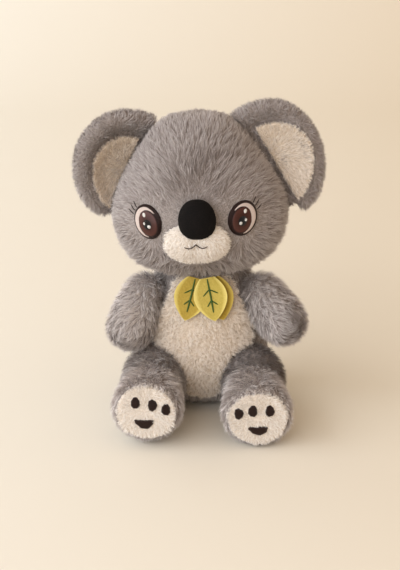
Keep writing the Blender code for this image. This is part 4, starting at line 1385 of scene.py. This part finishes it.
@dataclass
class Leg:
    """A leg with its white sole and stitched toes.

    Attributes:
        side: Which leg.
        seed: Seed of its pile.
        crease_painted_shade: Painted shade: how much darker the pile is in the crease between thigh and foot.
        foot_painted_light: Painted light: how much lighter it is on the foot.
        toe_width: Width of a toe mark.
        toe_height: Its height.
        palm_width: Width of the palm mark.
        palm_height: Its height.
        mark_thickness: Thickness of a mark, from the sole's backing.
        mark_dome: How much fuller it is in the middle.
        probe: How far ahead of the sole a mark's points are cast from.
    """

    side: Side
    seed: int
    crease_painted_shade: float
    foot_painted_light: float
    toe_width: float = 6.6 * MM
    toe_height: float = 8.6 * MM
    palm_width: float = 14 * MM
    palm_height: float = 6.8 * MM
    mark_thickness: float = 1.6 * MM
    mark_dome: float = 0.5 * MM
    probe: float = 60 * MM

    def build(self) -> None:
        """Makes the leg, its sole and their pile."""
        name = self.side.value
        body = f"leg_{name}"
        skin = padded_skin(f"leg_skin_{name}", body, GREY_BACK, body, 0.8, 2.0 * MM, 0.8 * MM)
        middle, _ = box_of(f"sole_{name}")

        def comb(points: Array, normals: Array) -> Array:
            """Pile runs forward and down the leg, and over the edge of the sole."""
            rim = ramp(np.abs(points[:, 1:2] - middle[1]), 9 * MM, -9 * MM)
            upper = ramp(points[:, 2:3] - middle[2], -19.6 * MM, 14 * MM)
            over = unit(middle - points) * rim * upper
            return np.array([0.0, -0.6, -0.5]) * (1 - 0.5 * rim * upper) + over

        def trim(points: Array, normals: Array) -> Array:
            """Shorter under the sole."""
            rim = ramp(np.abs(points[:, 1] - middle[1]), 12 * MM, -12 * MM)
            under = ramp(middle[2] - points[:, 2], 5.6 * MM, 14 * MM)
            return 1 - 0.9 * rim * under

        shields = node_trees("torso", f"sole_{name}", "belly_panel")
        coat = Coat(LIMB_PILE, LIMB_COAT_PAINTED_LIGHT, self.seed, comb, trim, self.shade, shields, 0.6 * MM)
        coat.grow(f"leg_pile_{name}", skin, body)
        self.make_sole(body)

    def shade(self, points: Array, normals: Array) -> Array:
        """Painted shade in the crease between the thigh and the foot, painted light on the foot."""
        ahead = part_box(f"sole_{self.side.value}")[0].y
        crease = ramp(points[:, 1], ahead + 40 * MM, 11 * MM)
        upper = ramp(normals[:, 2], -0.6, 1.0)
        foot = ramp(points[:, 1], ahead + 38 * MM, -12 * MM)
        return self.crease_painted_shade * crease * upper - self.foot_painted_light * foot - 0.3

    def make_sole(self, body: str) -> None:
        """The white sole and its marks."""
        name = self.side.value
        sole = make_skin(f"sole_skin_{name}", f"sole_{name}", 0.9 * MM, 0.0, 2)
        dress(sole.obj, WHITE_BACK, body, [f"sole_{name}"])
        ground = sole.tree()
        trees = []
        for mark in ("toe_outer", "toe_middle", "toe_inner", "palm"):
            node = f"{mark}_{name}"
            low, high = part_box(node)
            centre = (low + high) / 2
            outline = ragged(oval(self.toe_width, self.toe_height), low.x)
            if mark == "palm":
                outline = ragged(self.palm_outline, low.x)
            place = Matrix.Translation((centre.x, low.y - self.probe, centre.z))
            patch = Patch(outline, self.mark_thickness, self.mark_thickness, self.mark_dome, 44, 4)
            mesh = patch.mesh(f"{mark}_on_{name}", place, ground)
            dress(new_object(mesh.name, mesh), DARK_THREAD, body, [node])
            trees.append(node_tree(node))
        middle, size = box_of(f"sole_{name}")

        def comb(points: Array, normals: Array) -> Array:
            """Pile runs out from the middle of the sole, and down."""
            return unit(points - middle) * 0.8 + np.array([0.0, -0.4, -0.3])

        def trim(points: Array, normals: Array) -> Array:
            """Longer and shorter by turns around the rim."""
            across, up = ((points - middle)[:, [0, 2]] / size[[0, 2]] * 2).T
            turn = np.arctan2(up, across)
            waves = np.sin(3 * turn + self.seed) + 0.6 * np.sin(7 * turn)
            edge = ramp(np.hypot(across, up), 0.8, 0.2)
            return 1 - edge * (0.15 - 0.3 * waves)

        coat = Coat(WHITE_PILE, WHITE_COAT, self.seed + 1, comb, trim, None, trees, 0.4 * MM)
        coat.grow(f"sole_pile_{name}", sole, body)

    def palm_outline(self, angle: float) -> tuple[float, float]:
        """A bowed oval with its ends up."""
        x, z = oval(self.palm_width, self.palm_height)(angle)
        return x, z + self.palm_height * (0.15 - 0.3 * (1 - (x / (self.palm_width / 2)) ** 2))


@dataclass
class Leaves:
    """Three felt leaves under the chin, two of them with stitched veins."""

    width: float = 25 * MM
    length: float = 33 * MM
    thickness: float = 1.4 * MM
    gap: float = 0.3 * MM
    cup: float = 0.9 * MM
    top_share: float = 0.12
    rows: int = 24
    columns: int = 10

    def build(self) -> None:
        """Makes the leaves and their veins."""
        self.seam = Vector(joint_of("leaves")["pos_m"])
        for name, across, lean, layer, finish in (
            ("back", 6 * MM, -16, 0, SHADE_FELT),
            ("right", -6 * MM, 14, 1, SHADED_SIDE_FELT),
            ("left", 2.5 * MM, -11, 2, FRONT_FELT),
        ):
            self.make_leaf(name, across, math.radians(lean), layer, finish)

    def make_leaf(self, name: str, across: float, lean: float, layer: int, finish: FeltFinish) -> None:
        """One leaf with a crisp cut edge and a slight cup.

        Args:
            name: Which leaf.
            across: Its place along the seam.
            lean: Its lean from hanging straight.
            layer: Its place in the stack, from the belly.
            finish: Its felt.
        """
        node = frame["nodes"][f"leaf_{name}"]
        ahead = self.gap + self.thickness / 2 + layer * (self.thickness + self.gap)
        turned = Matrix.Rotation(-self.tilt(), 4, "X")
        local = Matrix.Translation((across, -ahead, 0)) @ Matrix.Rotation(lean, 4, "Y")
        place = Matrix.Translation(self.seam) @ turned @ local
        rows, columns = self.rows, self.columns
        verts = []
        for front in (-1, 1):
            for i in range(rows + 1):
                share = i / rows
                half = self.half_width(share)
                for j in range(columns + 1):
                    over = 2 * j / columns - 1
                    rounding = self.thickness / 2 * (1 - 0.25 * abs(over) ** 6)
                    cup = -self.cup * over**2 * math.sin(math.pi * share)
                    verts.append(place @ Vector((half * over, front * rounding + cup, -share * self.length)))
        size = (rows + 1) * (columns + 1)
        faces = []
        for i in range(rows):
            for j in range(columns):
                a = i * (columns + 1) + j
                quad = (a, a + 1, a + columns + 2, a + columns + 1)
                faces.append(tuple(reversed(quad)))
                faces.append(tuple(size + k for k in quad))
        rim = list(range(columns + 1))
        rim += [i * (columns + 1) + columns for i in range(1, rows + 1)]
        rim += [rows * (columns + 1) + j for j in range(columns - 1, -1, -1)]
        rim += [i * (columns + 1) for i in range(rows - 1, 0, -1)]
        for a, b in zip(rim, rim[1:] + rim[:1]):
            faces.append((a, b, size + b, size + a))
        mesh = bpy.data.meshes.new(f"felt_leaf_{name}")
        mesh.from_pydata([tuple(v) for v in verts], [], faces)
        layer_map = mesh.uv_layers.new(name=PATCH_MAP)
        for loop in mesh.loops:
            i, j = divmod(loop.vertex_index % size, columns + 1)
            edge = max(abs(2 * j / columns - 1) ** 0.7, (i / rows) ** 6)
            layer_map.data[loop.index].uv = (edge, i / rows)
        mesh.update()
        leaf = new_object(mesh.name, mesh)
        dress(leaf, finish, "leaves", [node.name])
        veins = [] if name == "back" else self.make_veins(name, place)
        area = sum(self.half_width((i + 0.5) / rows) * 2 for i in range(rows)) * self.length / rows

    def half_width(self, share: float) -> float:
        """Half the leaf's width at a share of its length."""
        return self.width / 2 * math.sin(math.pi * (self.top_share + (1 - self.top_share) * share)) ** 0.8

    def tilt(self) -> float:
        """How far the leaves lean back at their seam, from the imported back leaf."""
        low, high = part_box("leaf_back")
        run = (high.y - low.y) - self.thickness
        return math.atan2(run, high.z - low.z)

    def make_veins(self, name: str, place: Matrix) -> list[bpy.types.Object]:
        """The stem and the side veins of a front leaf."""
        out = -(self.thickness / 2 + 0.15 * MM)
        lines = [[(0.0, 0.03), (0.01, 0.45), (0.0, 0.80)]]
        for start, reach in ((0.27, 0.25), (0.52, 0.17)):
            lines.append([(0.0, start), (reach, start + 0.12)])
            lines.append([(0.0, start), (-reach * 0.85, start + 0.13)])
        made = []
        for number, line in enumerate(lines):
            points = []
            for (x0, s0), (x1, s1) in zip(line, line[1:]):
                for k in range(6):
                    t = k / 6
                    x = (x0 + (x1 - x0) * t) * self.width
                    points.append(place @ Vector((x, out, -(s0 + (s1 - s0) * t) * self.length)))
            x, s = line[-1]
            points.append(place @ Vector((x * self.width, out, -s * self.length)))
            radius = 0.7 * MM if number == 0 else 0.5 * MM
            vein = stitched_line(f"vein_{number + 1}_{name}", points, radius)
            dress(vein, VEIN_THREAD, "leaves")
            made.append(vein)
        return made


@dataclass
class Studio:
    """The sweep, the lamps and the camera."""

    distance: float = 1.25
    elevation: float = math.radians(20)
    target: tuple[float, float, float] = (-2.6 * MM, -30 * MM, 102.0 * MM)
    frame_height: float = 427.5 * MM
    lamp_size: float = 2.6
    aim_height: float = 0.12
    room_colour: Colour = (1.0, 0.775, 0.575)
    room_strength: float = 0.65
    sweep_half: float = 3.0
    sweep_back: float = 0.9
    sweep_radius: float = 0.6

    def build(self) -> None:
        """Makes the floor, the lamps and the camera."""
        self.make_sweep()
        self.make_camera()
        self.make_lamp("window", (-2.8, -0.6, 1.6), 54.0, (0.92, 0.99, 1.06))
        self.make_lamp("key", (-1.6, -2.65, 1.4), 60.0, (0.94, 0.99, 1.05))
        world = bpy.data.worlds.new("room")
        world.use_nodes = True
        background = world.node_tree.nodes["Background"]
        background.inputs[0].default_value = (*self.room_colour, 1.0)
        background.inputs[1].default_value = self.room_strength
        bpy.context.scene.world = world
        bpy.context.scene.view_settings.view_transform = "Standard"

    def make_sweep(self) -> None:
        """A floor that curves up into a backdrop."""
        half, back, radius = self.sweep_half, self.sweep_back, self.sweep_radius
        profile = [(-half, 0.0), (-0.6, 0.0), (back, 0.0)]
        for i in range(1, 17):
            angle = math.pi / 2 * i / 16
            profile.append((back + radius * math.sin(angle), radius * (1 - math.cos(angle))))
        profile.append((back + radius, half))
        verts = [(x, y, z) for y, z in profile for x in (-half, half)]
        faces = [(2 * i, 2 * i + 1, 2 * i + 3, 2 * i + 2) for i in range(len(profile) - 1)]
        mesh = bpy.data.meshes.new("sweep")
        mesh.from_pydata(verts, [], faces)
        mesh.polygons.foreach_set("use_smooth", [True] * len(faces))
        sweep = new_object("sweep", mesh)
        mesh.materials.append(WARDROBE.material(SWEEP))
        sweep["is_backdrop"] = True

    def make_camera(self) -> None:
        """The camera at the photograph's angle and frame."""
        data = bpy.data.cameras.new("camera")
        data.sensor_fit = "VERTICAL"
        data.sensor_height = 24.0
        data.lens = data.sensor_height * self.distance / self.frame_height
        camera = new_object("camera", data)
        back = Vector((0, -math.cos(self.elevation), math.sin(self.elevation)))
        camera.location = Vector(self.target) + back * self.distance
        camera.rotation_euler = (math.pi / 2 - self.elevation, 0, 0)
        bpy.context.scene.camera = camera

    def make_lamp(self, name: str, place: tuple[float, float, float], power: float, colour: Colour) -> None:
        """A soft square lamp that points at the toy."""
        data = bpy.data.lights.new(name, "AREA")
        data.shape = "SQUARE"
        data.size = self.lamp_size
        data.energy = power
        data.color = colour
        lamp = new_object(name, data)
        lamp.location = place
        aim = Vector((0, 0, self.aim_height)) - Vector(place)
        lamp.rotation_euler = aim.to_track_quat("-Z", "Y").to_euler()


def corners() -> list[list[float]]:
    """The model's lowest and highest corners, as plain numbers."""
    return [[float(c) for c in corner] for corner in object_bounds()]


def main() -> None:
    """Builds the toy and its studio."""
    logging.basicConfig(level=logging.INFO, format="%(name)s: %(message)s")
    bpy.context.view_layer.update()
    Head(Face()).build()
    Torso().build()
    # Per side: ear draw, lean and liner painted shade; arm whorl and whorl painted shade; leg crease painted
    # shade and foot painted light.
    for side, seed, ear, arm, leg in (
        (Side.LEFT, 50, (4 * MM, 10 * MM, -0.05), ((67.5 * MM, -46 * MM, 78 * MM), 0.75), (1.0, 0.1)),
        (Side.RIGHT, 60, (2 * MM, 7 * MM, 0.45), ((62 * MM, -45 * MM, 65 * MM), 0.3), (0.6, 0.3)),
    ):
        Ear(side, seed, *ear).build()
        Arm(side, seed + 3, *arm).build()
        Leg(side, seed + 6, *leg).build()
    Leaves().build()
    Studio().build()


if __name__ == "__main__":
    main()
